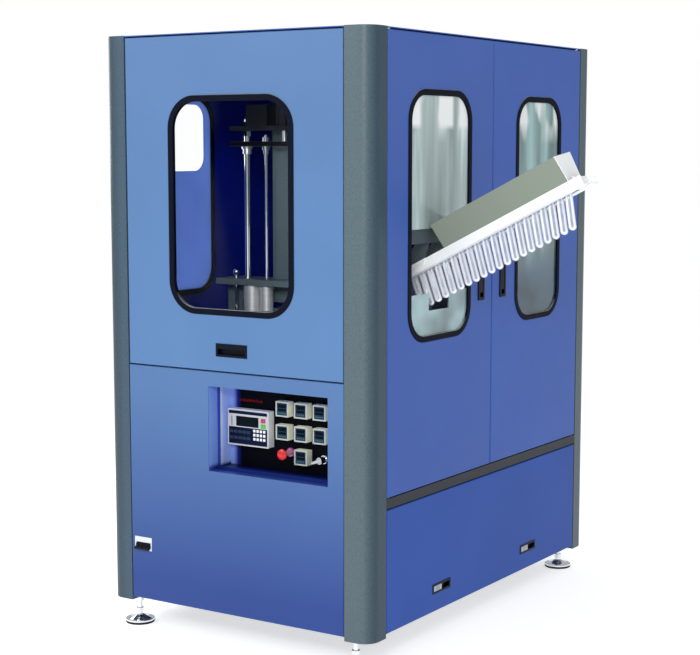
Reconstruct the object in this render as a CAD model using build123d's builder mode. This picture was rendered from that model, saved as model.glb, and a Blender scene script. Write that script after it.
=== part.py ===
from build123d import *
from math import atan, cos, degrees, radians, sin, tan
import os

os.makedirs("parts", exist_ok=True)

# Cabinet
cabinet_width = 1036.0
cabinet_depth = 1530.0
post_top = 1954.0
post_bottom = 88.0
post_side = 93.4
post_outer_radius = 50.0
post_inner_radius = 3.0
post_wall = 3.0
post_floor = 6.0
cable_hole_radius = 15.0
panel_bottom = 100.0
roof_under = 1950.0
roof_sheet = 3.0
roof_flange = 60.0
sheet = 2.0
bend_radius = 4.0
panel_gap = 2.0
door_gap = 4.0
seam_gap = 4.0
panel_fold = 24.0
door_fold = 28.0

# Frame rails behind the panels
frame_inset = 30.0
rail_width = 50.0
rail_wall = 4.0
base_rail_height = 60.0
rail_low = 494.8
rail_high = 526.2
corner_block = 70.0
deck_thickness = 6.0
front_split = 888.7

# Hinges: concealed pins with blocks in the moving sheet
hinge_from_face = 12.0
hinge_from_edge = 15.0
hinge_pin_radius = 5.0
hinge_pin_reach = 20.0
hinge_block = 26.0
hinge_collar_radius = 8.0
running_fit = 0.06
seat_gap = 0.2

# Windows: rubber ring of H section
seal_width = 20.0
seal_proud = 3.0
seal_depth = 11.0
sheet_grip = 10.0
pane_inset = 13.0
pane_face = 4.0
pane_thickness = 4.0
front_window = (-246.0, 242.0, 1069.0, 1760.0)
front_window_radius = 105.0
near_window = (-550.0, -150.0, 988.0, 1777.0)
far_window = (165.0, 513.0, 995.0, 1771.0)
side_window_radius = 100.0
left_window = (187.0, 590.0, 1079.0, 1781.0)
infill_hole = (242.0, 545.0, 1514.0, 1745.0)
infill_hole_radius = 50.0

# Control recess in the lower front panel
recess = (-95.0, 365.0, 564.0, 840.0)
recess_depth = 108.0
recess_step_depth = 50.0
recess_step = 8.0
control_plate_thickness = 3.0
terminal = (-76.0, 86.0, 642.5, 760.0)
terminal_depth = 30.0
controller_side = 48.0
controller_depth = 30.0
controller_bezel = 2.0
controller_first = (138.0, 774.5)
controller_pitch_x = 71.0
controller_pitch_z = 74.5
stop_centre = (154.0, 634.0)
stop_stem_radius = 8.0
stop_head_radius = 17.0
stop_head_height = 16.0
stop_reach = 60.0
selector_centre = (283.0, 624.0)
selector_radius = 11.0
button_base_radius = 15.0
button_base_height = 9.0
breaker = (-410.0, -338.0, 265.0, 310.0)
breaker_body_depth = 62.0
breaker_pivot_depth = 6.0
breaker_hub_radius = 7.5
breaker_hub_length = 62.0
breaker_lever_reach = 19.0

# Pull, handles and latches
pull = (-57.0, 57.0, 942.0, 976.0)
pull_depth = 16.0
handle_width = 42.0
handle_low = 1092.0
handle_high = 1232.0
near_handle_u = -78.0
far_handle_u = 74.0
handle_frame_proud = 4.0
handle_frame_depth = 20.0
handle_rim = 5.0
handle_pin_radius = 2.5
handle_pin_depth = 5.0
handle_pin_below_rim = 9.0
handle_lever_depth = 12.0
handle_finger_gap = 16.0
handle_play = 0.5
latch_low = 160.0
latch_high = 192.0
near_latch_u = (-386.0, -271.0)
far_latch_u = (233.0, 348.0)
latch_proud = 2.0
latch_depth = 12.0
latch_rim = 7.0
slider_share = 50.0

# Levelling feet
foot_inset_x = 83.0
foot_inset_y = 50.0
foot_pad_radius = 49.0
foot_rubber_height = 8.0
foot_dome_height = 18.0
foot_stud_radius = 8.0
foot_sleeve_radius = 13.5
foot_sleeve_height = 14.0
foot_nut_across = 24.0
foot_nut_height = 13.0
foot_nut_low = 36.0

# Preform chute through the near door's window
chute_reach = 515.0
chute_slope = 26.8
chute_near = -400.0
chute_width = 100.0
chute_mid_z = 1246.0
chute_low_end = -132.0
rail_height = 30.0
rail_sheet = 4.0
lip_sheet = 3.0
cover_start = 48.0
cover_length = 468.0
cover_height = 83.0
cover_sheet = 2.0
preform_radius = 12.5
preform_length = 112.0
preform_neck_radius = 11.0
preform_neck_height = 17.0
preform_bore_radius = 9.0
preform_ring_radius = 15.0
preform_ring_height = 2.5
preform_count = 20
preform_first = -114.0
preform_pitch = 31.8
preform_lean_low = 21.0
preform_lean_high = 9.0
lip_clearance = 1.0
ring_play = 0.3
bracket_low = 1298.0
bracket_high = 1344.0
lower_pane_top = 1140.0
notch_low = 1085.0
notch_play = 14.0

# Stretch and blow station
station_u = -60.0
station_v = -385.0
guide_offset = 154.0
guide_radius = 10.0
stretch_offset = 76.0
stretch_radius = 5.0
plate_front = -425.0
plate_back = -300.0
nozzle_plate_low = 1134.0
nozzle_plate_thickness = 20.0
nozzle_plate_half = 262.0
column_front = -345.0
column_thickness = 30.0
column_half = 78.0
column_top = 1730.0
leg_side = 60.0
leg_offset = 240.0
head_low = 1652.0
carriage_low = 1600.0
station_plate = 16.0
head_half = 198.0
lift_rod_radius = 8.0
valve_block_from = 134.0
valve_block_to = 48.0
valve_block_height = 70.0
lift_cylinder_radius = 28.0
lift_cylinder_top = 1925.0
lift_rod_short = 20.0

# Moulds on tie bars
mould_half_width = 130.0
mould_depth = 80.0
mould_low = 720.0
mould_high = 1020.0
mould_open = 50.0
mould_touch_gap = 0.2
bottle_radius = 34.0
bottle_height = 225.0
bottle_neck_radius = 13.0
bolster_depth = 25.0
bolster_half = 175.0
bolster_low = 700.0
bolster_high = 1040.0
tie_offset = 150.0
tie_heights = (735.0, 1005.0)
tie_radius = 12.5
platen_gap = 24.0
platen_depth = 30.0
ram_radius = 20.0
ram_cylinder_radius = 50.0
ram_cylinder_length = 45.0

# Oven
oven = (-170.0, 250.0, 60.0, 620.0)
oven_top = 1150.0
oven_sheet = 4.0
tunnel_half = 50.0
tunnel_depth = 250.0
lamp_radius = 5.0
lamp_count = 4
lamp_block = 18.0

# Derived places: the origin lies under the middle of cabinet and chute together
cx = -(chute_reach - seal_proud) / 2
left = cx - cabinet_width / 2
right = cx + cabinet_width / 2
front = -cabinet_depth / 2
rear = cabinet_depth / 2
inner_x = cabinet_width / 2 - post_side
inner_y = cabinet_depth / 2 - post_side
deck_top = rail_high + deck_thickness
front_face = Plane(origin=(cx, front, 0), x_dir=(1, 0, 0), z_dir=(0, -1, 0))
rear_face = Plane(origin=(cx, rear, 0), x_dir=(-1, 0, 0), z_dir=(0, 1, 0))
right_face = Plane(origin=(right, 0, 0), x_dir=(0, 1, 0), z_dir=(1, 0, 0))
left_face = Plane(origin=(left, 0, 0), x_dir=(0, -1, 0), z_dir=(-1, 0, 0))


def save(piece, name):
    """Label a finished piece and write its file."""
    piece.part.label = name
    export_step(piece.part, "parts/" + name + ".step")


def rect(u0, u1, v0, v1, mode=Mode.ADD):
    """Rectangle between two corners of the sketch's own plane."""
    with Locations(((u0 + u1) / 2, (v0 + v1) / 2)):
        Rectangle(u1 - u0, v1 - v0, mode=mode)


def rounded(box, inset, radius, mode=Mode.ADD):
    """Rounded rectangle, inset evenly from a window's outline."""
    u0, u1, v0, v1 = box
    with Locations(((u0 + u1) / 2, (v0 + v1) / 2)):
        RectangleRounded(u1 - u0 - 2 * inset, v1 - v0 - 2 * inset, radius - inset, mode=mode)


def block(x0, x1, y0, y1, z0, z1, mode=Mode.ADD):
    """Upright block between two corners, inside a part."""
    with BuildSketch(Plane.XY.offset(z0)) as plan:
        rect(x0, x1, y0, y1)
    extrude(plan.sketch, amount=z1 - z0, mode=mode)


def post_square(sx, sy, size=post_side):
    """Plan of one corner post."""
    with Locations((cx + sx * (cabinet_width / 2 - size / 2), sy * (cabinet_depth / 2 - size / 2))):
        Rectangle(size, size, mode=Mode.SUBTRACT)


def folded_tray(face, u0, u1, v0, v1, depth):
    """Sheet panel with its four edges folded back."""
    along = Axis(face.origin, face.z_dir)
    with BuildPart() as tray:
        with BuildSketch(face):
            rect(u0, u1, v0, v1)
        extrude(amount=-depth)
        fillet(tray.faces().sort_by(along)[-1].edges(), bend_radius)
        offset(amount=-sheet, openings=tray.faces().sort_by(along)[0])
    return tray.part


def window_seal(face, box, radius):
    """Rubber ring: the outer groove grips the sheet, the inner one the pane."""
    with BuildPart() as ring:
        with BuildSketch(face.offset(seal_proud)):
            rounded(box, 0, radius)
            rounded(box, seal_width, radius, mode=Mode.SUBTRACT)
        extrude(amount=-(seal_proud + seal_depth))
        lip = ring.faces().sort_by(Axis(face.origin, face.z_dir))[-1]
        fillet(lip.edges(), 0.8 * seal_proud)
        with BuildSketch(face):
            rounded(box, -sheet_grip, radius)
            rounded(box, sheet_grip, radius, mode=Mode.SUBTRACT)
        extrude(amount=-sheet, mode=Mode.SUBTRACT)
        with BuildSketch(face.offset(-pane_face)):
            rounded(box, pane_inset, radius)
        extrude(amount=-pane_thickness, mode=Mode.SUBTRACT)
    return ring


def window_hole(face, box, radius):
    """Hole in the sheet that the seal closes, inside a part."""
    with BuildSketch(face) as hole:
        rounded(box, sheet_grip, radius)
    extrude(hole.sketch, amount=-3 * sheet, mode=Mode.SUBTRACT)


def window_pane(face, box, radius):
    """Clear pane that fills the seal's inner groove."""
    with BuildPart() as pane:
        with BuildSketch(face.offset(-pane_face)):
            rounded(box, pane_inset, radius)
        extrude(amount=-pane_thickness)
    return pane


# Corner posts: bent sheet, round outside, with a foot plate and cable holes
posts = {
    "post_front_left": (-1, -1),
    "post_front_right": (1, -1),
    "post_rear_left": (-1, 1),
    "post_rear_right": (1, 1),
}
for name, (sx, sy) in posts.items():
    px = cx + sx * (cabinet_width / 2 - post_side / 2)
    py = sy * (cabinet_depth / 2 - post_side / 2)
    outer = (cx + sx * cabinet_width / 2, sy * cabinet_depth / 2, post_bottom)
    with BuildPart() as post:
        with BuildSketch(Plane.XY.offset(post_bottom)) as plan:
            with Locations((px, py)):
                Rectangle(post_side, post_side)
            corners = plan.vertices().sort_by_distance(outer)
            fillet(corners[0], post_outer_radius)
            fillet(plan.vertices().sort_by_distance(outer)[-1], post_inner_radius)
        extrude(amount=post_top - post_bottom)
        with BuildSketch(Plane.XY.offset(post_bottom + post_floor)):
            add(offset(plan.sketch, amount=-post_wall, mode=Mode.PRIVATE))
        extrude(amount=post_top - post_bottom - post_floor - post_wall, mode=Mode.SUBTRACT)
        inner_wall = Plane(origin=(px, sy * inner_y, 0), x_dir=(1, 0, 0), z_dir=(0, sy, 0))
        with BuildSketch(inner_wall):
            with Locations((0, sy * -1 * (panel_bottom + rail_low) / 2)):
                Circle(cable_hole_radius)
        extrude(amount=post_wall, mode=Mode.SUBTRACT)
    save(post, name)


def frame_ring(z0, z1, right_inset):
    """Ring of channel rails between the posts, with solid corner blocks."""
    x0 = left + frame_inset
    x1 = right - right_inset
    y1 = rear - frame_inset
    with BuildPart() as ring:
        with BuildSketch(Plane.XY.offset(z0)):
            rect(x0, x1, -y1, y1)
            rect(x0 + rail_width, x1 - rail_width, -y1 + rail_width, y1 - rail_width, Mode.SUBTRACT)
            for sx in (-1, 1):
                for sy in (-1, 1):
                    block_x = inner_x - corner_block
                    block_y = inner_y - corner_block
                    corner_x = x1 if sx > 0 else x0
                    rect(min(cx + sx * block_x, corner_x), max(cx + sx * block_x, corner_x),
                         min(sy * block_y, sy * y1), max(sy * block_y, sy * y1))
            for sx in (-1, 1):
                for sy in (-1, 1):
                    post_square(sx, sy)
        extrude(amount=z1 - z0)
        with BuildSketch(Plane.XY.offset(z0)):
            reach_x = inner_x - corner_block
            reach_y = inner_y - corner_block
            for sy in (-1, 1):
                with Locations((cx, sy * (y1 - rail_width / 2))):
                    Rectangle(2 * reach_x, rail_width - 2 * rail_wall)
            for rail_x in (x0 + rail_width / 2, x1 - rail_width / 2):
                with Locations((rail_x, 0)):
                    Rectangle(rail_width - 2 * rail_wall, 2 * reach_y)
        extrude(amount=z1 - z0 - rail_wall, mode=Mode.SUBTRACT)
    return ring


save(frame_ring(panel_bottom - 7, panel_bottom + base_rail_height, frame_inset), "base_frame")
save(frame_ring(rail_low, rail_high, 0), "middle_frame")

# Deck plate on the middle frame
with BuildPart() as deck_plate:
    block(left + frame_inset, right - door_fold - 2 * door_gap, -inner_y + panel_gap, inner_y - panel_gap,
          rail_high, deck_top)
save(deck_plate, "deck_plate")

# Roof: flat sheet over the panels, cut around the posts, with inner flanges
with BuildPart() as roof_panel:
    with BuildSketch(Plane.XY.offset(roof_under)):
        rect(left, right, front, rear)
        for sx in (-1, 1):
            for sy in (-1, 1):
                post_square(sx, sy)
    extrude(amount=roof_sheet)
    with BuildSketch(Plane.XY.offset(roof_under - roof_flange)):
        flange_x = cabinet_width / 2 - door_fold - 2 * door_gap
        flange_y = cabinet_depth / 2 - door_fold - 2 * door_gap
        rect(cx - flange_x, cx + flange_x, -flange_y, flange_y)
        rect(cx - flange_x + sheet, cx + flange_x - sheet, -flange_y + sheet, flange_y - sheet, Mode.SUBTRACT)
        for sx in (-1, 1):
            for sy in (-1, 1):
                post_square(sx, sy)
    extrude(amount=roof_flange)
save(roof_panel, "roof_panel")

# Left wall with its window
panel_top = roof_under - door_gap
fold_v = inner_y - panel_gap
left_tray = folded_tray(left_face, -fold_v, fold_v, panel_bottom, panel_top, panel_fold)
with BuildPart() as left_panel:
    add(left_tray)
    window_hole(left_face, left_window, side_window_radius)
save(left_panel, "left_panel")
save(window_seal(left_face, left_window, side_window_radius), "left_window_seal")
with BuildPart() as left_infill_panel:
    add(window_pane(left_face, left_window, side_window_radius).part)
    with BuildSketch(left_face):
        rounded(infill_hole, 0, infill_hole_radius)
    extrude(amount=-seal_depth, mode=Mode.SUBTRACT)
save(left_infill_panel, "left_infill_panel")

# Rear wall with two banks of pressed vent slots
slot_length = 90.0
slot_height = 3.6
slot_pitch = 18.0
slot_rows = 9
vent_centre = 190.0
vent_height = 330.0
fold_u = inner_x - panel_gap
rear_tray = folded_tray(rear_face, -fold_u, fold_u, panel_bottom, panel_top, panel_fold)
with BuildPart() as rear_panel:
    add(rear_tray)
    with BuildSketch(rear_face):
        with Locations((-vent_centre, vent_height), (vent_centre, vent_height)):
            with GridLocations(0, slot_pitch, 1, slot_rows):
                SlotOverall(slot_length, slot_height)
    extrude(amount=-2 * sheet, mode=Mode.SUBTRACT)
save(rear_panel, "rear_panel")

# Lower front panel with the recess and breaker openings
lower_tray = folded_tray(front_face, -fold_u, fold_u, panel_bottom, front_split - panel_gap, panel_fold)
with BuildPart() as lower_front_panel:
    add(lower_tray)
    with BuildSketch(front_face):
        rect(*recess)
        rect(*breaker)
    extrude(amount=-2 * sheet, mode=Mode.SUBTRACT)
save(lower_front_panel, "lower_front_panel")

# Control recess: folded box, stepped in at a third of its depth, open at the back for the plate
u0, u1, v0, v1 = recess
with BuildPart() as control_recess:
    with BuildSketch(front_face.offset(-sheet)):
        rect(u0 - sheet, u1 + sheet, v0 - sheet, v1 + sheet)
    extrude(amount=-(recess_depth - sheet))
    with BuildSketch(front_face):
        rect(*recess)
    extrude(amount=-recess_step_depth, mode=Mode.SUBTRACT)
    with BuildSketch(front_face):
        rect(u0 + recess_step, u1, v0 + recess_step, v1)
    extrude(amount=-recess_depth, mode=Mode.SUBTRACT)
    with BuildSketch(front_face.offset(-recess_step_depth - sheet)):
        rect(u0 - 2 * sheet, u0 + recess_step - sheet, v0 - 2 * sheet, v1 + 2 * sheet)
        rect(u0 - 2 * sheet, u1 + 2 * sheet, v0 - 2 * sheet, v0 + recess_step - sheet)
    extrude(amount=-recess_depth, mode=Mode.SUBTRACT)
save(control_recess, "control_recess")


def controller_places():
    """Two full rows of three and one more under the middle column."""
    first_u, first_v = controller_first
    places = [(first_u + i * controller_pitch_x, first_v - j * controller_pitch_z)
              for j in range(2) for i in range(3)]
    return places + [(first_u + controller_pitch_x, first_v - 2 * controller_pitch_z)]


# Black control plate behind the recess, with a seat for each instrument
plate_face = front_face.offset(-recess_depth)
with BuildPart() as control_plate:
    with BuildSketch(plate_face):
        rect(u0 + recess_step - sheet, u1 + sheet, v0 + recess_step - sheet, v1 + sheet)
        with Locations(stop_centre):
            Circle(stop_stem_radius + running_fit, mode=Mode.SUBTRACT)
        with Locations(selector_centre):
            Circle(selector_radius - 3 + running_fit, mode=Mode.SUBTRACT)
    extrude(amount=-control_plate_thickness)
save(control_plate, "control_plate")

# Operator terminal: tapered case, sunk display, raised keys
t0, t1, b0, b1 = terminal
terminal_face = plate_face.offset(terminal_depth)
terminal_keys_u = (t1 - 48, t1 - 9)
terminal_keys_v = (b0 + 16, b0 + 50)
with BuildPart() as operator_terminal:
    with BuildSketch(plate_face):
        rect(t0, t1, b0, b1)
    extrude(amount=terminal_depth)
    fillet(operator_terminal.edges().filter_by(Axis.Y), 3)
    with BuildSketch(terminal_face):
        rect(t0 + 36, t1 - 32, b1 - 54, b1 - 21)
    extrude(amount=-2, mode=Mode.SUBTRACT)
    key_u = (terminal_keys_u[1] - terminal_keys_u[0]) / 4
    key_v = (terminal_keys_v[1] - terminal_keys_v[0]) / 3
    with BuildSketch(terminal_face):
        with Locations(((terminal_keys_u[0] + terminal_keys_u[1]) / 2, (terminal_keys_v[0] + terminal_keys_v[1]) / 2)):
            with GridLocations(key_u, key_v, 4, 3):
                Rectangle(0.7 * key_u, 0.7 * key_v)
        for key_row in (b0 + 24, b0 + 42):
            with Locations((t0 + 52, key_row)):
                with GridLocations(18, 0, 5, 1):
                    Rectangle(13, 8)
        for key_place in (b1 - 30, b1 - 46):
            with Locations((t1 - 18, key_place)):
                Rectangle(14, 11)
    extrude(amount=1)
save(operator_terminal, "operator_terminal")

# Temperature controllers: square cases with a raised bezel round the display
with BuildPart() as temperature_controllers:
    with BuildSketch(plate_face):
        with Locations(*controller_places()):
            Rectangle(controller_side, controller_side)
    extrude(amount=controller_depth)
    with BuildSketch(plate_face.offset(controller_depth)):
        with Locations(*controller_places()):
            RectangleRounded(controller_side - 8, controller_side - 8, 2)
    extrude(amount=-controller_bezel, mode=Mode.SUBTRACT)
save(temperature_controllers, "temperature_controllers")

# Bases of the stop button and the selector, each a turned ring on the plate
with BuildPart() as button_bases:
    with BuildSketch(plate_face):
        with Locations(stop_centre):
            Circle(button_base_radius)
            Circle(stop_stem_radius + running_fit, mode=Mode.SUBTRACT)
        with Locations(selector_centre):
            Circle(button_base_radius)
            Circle(selector_radius - 3 + running_fit, mode=Mode.SUBTRACT)
    extrude(amount=button_base_height)
    crown = button_bases.faces().sort_by(Axis.Y)[:2]
    chamfer(crown.edges().filter_by(GeomType.CIRCLE).group_by(SortBy.RADIUS)[-1], 2)
save(button_bases, "button_bases")

# Emergency stop head: mushroom on its stem, turned about the push axis
stop_u, stop_v = stop_centre
stop_plane = Plane(origin=front_face.from_local_coords((stop_u, stop_v, 0)), x_dir=(1, 0, 0), z_dir=(0, 0, 1))
stop_back = recess_depth + control_plate_thickness + 12
head_back = recess_depth - stop_reach + stop_head_height
cap_height = stop_head_height - 11
cap_radius = (stop_head_radius ** 2 + cap_height ** 2) / (2 * cap_height)
with BuildPart() as stop_button_head:
    with BuildSketch(stop_plane):
        with BuildLine():
            Polyline((0, stop_back), (stop_stem_radius, stop_back), (stop_stem_radius, head_back),
                     (0.7 * stop_head_radius, head_back), (stop_head_radius, head_back - 5),
                     (stop_head_radius, head_back - 11))
            RadiusArc((stop_head_radius, head_back - 11), (0, head_back - stop_head_height), cap_radius)
            Line((0, head_back - stop_head_height), (0, stop_back))
        make_face()
    revolve(axis=Axis(stop_plane.origin, (0, 1, 0)))
save(stop_button_head, "stop_button_head")

# Selector: chromed barrel with a long tapered grip that points to the lower left
grip_angle = 200.0
grip_length = 46.0
knob_height = 34.0
with BuildPart() as selector_knob:
    with BuildSketch(plate_face.offset(-control_plate_thickness - 10)):
        with Locations(selector_centre):
            Circle(selector_radius - 3)
    extrude(amount=control_plate_thickness + 10 + button_base_height + seat_gap)
    with BuildSketch(plate_face.offset(button_base_height + seat_gap)):
        with Locations(selector_centre):
            Circle(selector_radius)
    extrude(amount=knob_height - button_base_height)
    grip_plane = Plane(origin=plate_face.from_local_coords((*selector_centre, knob_height - 12)),
                       x_dir=(cos(radians(grip_angle)), 0, sin(radians(grip_angle))), z_dir=(0, -1, 0))
    with BuildSketch(grip_plane):
        with BuildLine():
            Polyline((-selector_radius, -7), (grip_length - 16, -4), (grip_length - 16, 4),
                     (-selector_radius, 7), close=True)
        make_face()
    extrude(amount=16)
    fillet(selector_knob.faces().sort_by(Axis.Y)[0].edges(), 1.2)
save(selector_knob, "selector_knob")

# Four-pole breaker: the levers are ganged on one hub
m0, m1, w0, w1 = breaker
pivot_v = w0 + 17
pivot_plane = Plane(origin=(cx + (m0 + m1) / 2, front + breaker_pivot_depth, pivot_v),
                    x_dir=(0, 1, 0), z_dir=(1, 0, 0))
hub_play = 0.3
lever_room = 2.5
lever_down = 35
with BuildPart() as breaker_body:
    with BuildSketch(front_face):
        rect(m0, m1, w0, w1)
    extrude(amount=-breaker_body_depth)
    with BuildSketch(pivot_plane.offset(-breaker_hub_length / 2 - hub_play)):
        Circle(breaker_hub_radius + hub_play)
        rect(-2 * breaker_pivot_depth, 0, -breaker_hub_radius - lever_room, breaker_hub_radius + lever_room)
    extrude(amount=breaker_hub_length + 2 * hub_play, mode=Mode.SUBTRACT)
save(breaker_body, "breaker_body")
with BuildPart() as breaker_levers:
    with BuildSketch(pivot_plane.offset(-breaker_hub_length / 2)):
        Circle(breaker_hub_radius)
    extrude(amount=breaker_hub_length)
    lever_pitch = breaker_hub_length / 4
    for i in range(4):
        start = -breaker_hub_length / 2 + lever_pitch * (i + 0.12)
        with BuildSketch(pivot_plane.offset(start)):
            with Locations(Location((0, 0), lever_down)):
                rect(-breaker_lever_reach, 0, -3.4, 3.4)
        extrude(amount=0.76 * lever_pitch)
    with BuildSketch(pivot_plane.offset(-breaker_hub_length / 2)):
        with Locations(Location((0, 0), lever_down)):
            rect(-breaker_lever_reach - 2, -breaker_lever_reach + 3, -3.4, 3.4)
    extrude(amount=breaker_hub_length)
save(breaker_levers, "breaker_levers")

# Levelling feet: rubber pad, chromed dome with stud and sleeve nut
feet = [(cx + sx * (cabinet_width / 2 - foot_inset_x), sy * (cabinet_depth / 2 - foot_inset_y))
        for sx in (-1, 1) for sy in (-1, 1)]
foot_disc_top = foot_rubber_height + 5
with BuildPart() as foot_pads:
    with BuildSketch(Plane.XY):
        with Locations(*feet):
            Circle(foot_pad_radius)
    extrude(amount=foot_rubber_height)
    chamfer(foot_pads.faces().group_by(Axis.Z)[0].edges(), 2)
save(foot_pads, "foot_pads")
with BuildPart() as foot_studs:
    with BuildSketch(Plane.XZ):
        with BuildLine():
            Polyline((0, foot_rubber_height), (foot_pad_radius, foot_rubber_height),
                     (foot_pad_radius, foot_disc_top))
            ThreePointArc((foot_pad_radius, foot_disc_top), (0.55 * foot_pad_radius, foot_disc_top + 5),
                          (foot_stud_radius + 6, foot_rubber_height + foot_dome_height))
            Polyline((foot_stud_radius + 6, foot_rubber_height + foot_dome_height),
                     (foot_stud_radius, foot_rubber_height + foot_dome_height + 2),
                     (foot_stud_radius, post_bottom - foot_sleeve_height),
                     (foot_sleeve_radius, post_bottom - foot_sleeve_height),
                     (foot_sleeve_radius, post_bottom), (0, post_bottom), (0, foot_rubber_height))
        make_face()
    revolve(axis=Axis.Z)
    with BuildSketch(Plane.XY.offset(foot_nut_low)):
        RegularPolygon(foot_nut_across / 2, 6, major_radius=False)
    extrude(amount=foot_nut_height)
one_foot = foot_studs.part
with BuildPart() as foot_studs:
    with Locations(*[(x, y, 0) for x, y in feet]):
        add(one_foot)
save(foot_studs, "foot_studs")


def upright_pin(x, y, z0, z1, collar_z0, collar_z1):
    """Vertical hinge pin with its collar, inside a part."""
    with BuildSketch(Plane.XY.offset(z0)) as shank:
        with Locations((x, y)):
            Circle(hinge_pin_radius)
    extrude(shank.sketch, amount=z1 - z0)
    with BuildSketch(Plane.XY.offset(collar_z0)) as collar:
        with Locations((x, y)):
            Circle(hinge_collar_radius)
    extrude(collar.sketch, amount=collar_z1 - collar_z0)


def level_pin(face, wall, sign, u, v):
    """Horizontal hinge pin that stands on a post's inner wall, inside a part."""
    with BuildSketch(face.offset(sign * wall)) as shank:
        with Locations((u, v)):
            Circle(hinge_pin_radius)
    extrude(shank.sketch, amount=-sign * (door_gap + hinge_pin_reach))


# Doors: sizes shared with their pins
pin_x = right - hinge_from_face
side_low = rail_high + panel_gap
near_edge = -(inner_y - door_gap)
near_pin_y = near_edge + hinge_from_edge
front_pin_z = panel_top - hinge_from_edge
front_pin_y = front + hinge_from_face
flap_top = rail_low - door_gap
flap_pin_z = flap_top - hinge_from_edge
cross_x = Plane(origin=(cx, 0, 0), x_dir=(0, 1, 0), z_dir=(1, 0, 0))
cross_y = Plane(origin=(0, 0, 0), x_dir=(1, 0, 0), z_dir=(0, -1, 0))
with BuildPart() as hinge_pins:
    for pin_y in (near_pin_y, -near_pin_y):
        upright_pin(pin_x, pin_y, rail_high, side_low + hinge_pin_reach, rail_high, side_low - seat_gap)
        upright_pin(pin_x, pin_y, panel_top - hinge_pin_reach, roof_under, panel_top + seat_gap, roof_under)
    for sign in (-1, 1):
        level_pin(cross_x, inner_x, sign, front_pin_y, front_pin_z)
        level_pin(cross_y, inner_y, sign, pin_x, flap_pin_z)
save(hinge_pins, "hinge_pins")


def side_door(u0, u1, hinge_sign, window):
    """Folded side door: tray, window hole, and a bored block at each end of the hinge edge."""
    tray = folded_tray(right_face, u0, u1, side_low, panel_top, door_fold)
    edge = u0 if hinge_sign < 0 else u1
    inner = edge - hinge_sign * sheet
    block_end = edge - hinge_sign * (sheet + hinge_block)
    pin_v = edge - hinge_sign * hinge_from_edge
    bore_depth = hinge_pin_reach + 2
    with BuildPart() as door:
        add(tray)
        window_hole(right_face, window, side_window_radius)
        for z0, z1 in ((side_low + sheet, side_low + sheet + hinge_block),
                       (panel_top - sheet - hinge_block, panel_top - sheet)):
            block(right - door_fold, right - sheet, min(inner, block_end), max(inner, block_end), z0, z1)
        for z0 in (side_low, panel_top - bore_depth):
            with BuildSketch(Plane.XY.offset(z0)):
                with Locations((pin_x, pin_v)):
                    Circle(hinge_pin_radius + running_fit)
            extrude(amount=bore_depth, mode=Mode.SUBTRACT)
    return door.part


def handle_hole(handle_u):
    """Cut-out for a swing handle's frame, inside a door."""
    with BuildSketch(right_face) as hole:
        rect(handle_u - handle_width / 2 + handle_rim, handle_u + handle_width / 2 - handle_rim,
             handle_low + handle_rim, handle_high - handle_rim)
    extrude(hole.sketch, amount=-3 * sheet, mode=Mode.SUBTRACT)


near_shell = side_door(near_edge, -seam_gap / 2, -1, near_window)
with BuildPart() as near_door:
    add(near_shell)
    handle_hole(near_handle_u)
save(near_door, "near_door")
far_shell = side_door(seam_gap / 2, -near_edge, 1, far_window)
with BuildPart() as far_door:
    add(far_shell)
    handle_hole(far_handle_u)
save(far_door, "far_door")
save(window_seal(right_face, near_window, side_window_radius), "near_window_seal")
save(window_seal(right_face, far_window, side_window_radius), "far_window_seal")
save(window_pane(right_face, far_window, side_window_radius), "far_pane")

# Near door's two panes leave a gap for the chute; the lower one is notched for the row of preforms
chute_far = chute_near + chute_width
whole_pane = window_pane(right_face, near_window, side_window_radius).part
with BuildPart() as near_panes:
    add(whole_pane)
    with BuildSketch(right_face):
        rect(near_window[0], near_window[1], lower_pane_top, bracket_high)
        rect(chute_near - notch_play, chute_far + notch_play, notch_low, bracket_high)
    extrude(amount=-seal_depth, mode=Mode.SUBTRACT)
save(near_panes, "near_panes")


handle_pin_x = right - handle_pin_depth
handle_pin_z = handle_high - 2 * handle_rim - handle_pin_below_rim


def handle_frame(handle_u):
    """Moulded frame of a swing handle, with its pocket and pin ears."""
    u0 = handle_u - handle_width / 2
    u1 = handle_u + handle_width / 2
    with BuildPart() as frame:
        with BuildSketch(right_face):
            with Locations((handle_u, (handle_low + handle_high) / 2)):
                RectangleRounded(handle_width, handle_high - handle_low, 6)
        extrude(amount=handle_frame_proud)
        fillet(frame.faces().sort_by(Axis.X)[-1].edges(), 2)
        with BuildSketch(right_face):
            rect(u0 + handle_rim, u1 - handle_rim, handle_low + handle_rim, handle_high - handle_rim)
        extrude(amount=-handle_frame_depth)
        with BuildSketch(right_face.offset(handle_frame_proud)):
            rect(u0 + 2 * handle_rim, u1 - 2 * handle_rim, handle_low + 2 * handle_rim, handle_high - 2 * handle_rim)
        extrude(amount=-(handle_frame_proud + handle_frame_depth - handle_rim), mode=Mode.SUBTRACT)
        pin_span = handle_width / 2 - handle_rim
        with BuildSketch(Plane(origin=(0, handle_u - pin_span, 0), x_dir=(1, 0, 0), z_dir=(0, -1, 0))):
            with Locations((handle_pin_x, handle_pin_z)):
                Circle(handle_pin_radius)
        extrude(amount=-2 * pin_span)
    return frame


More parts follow.
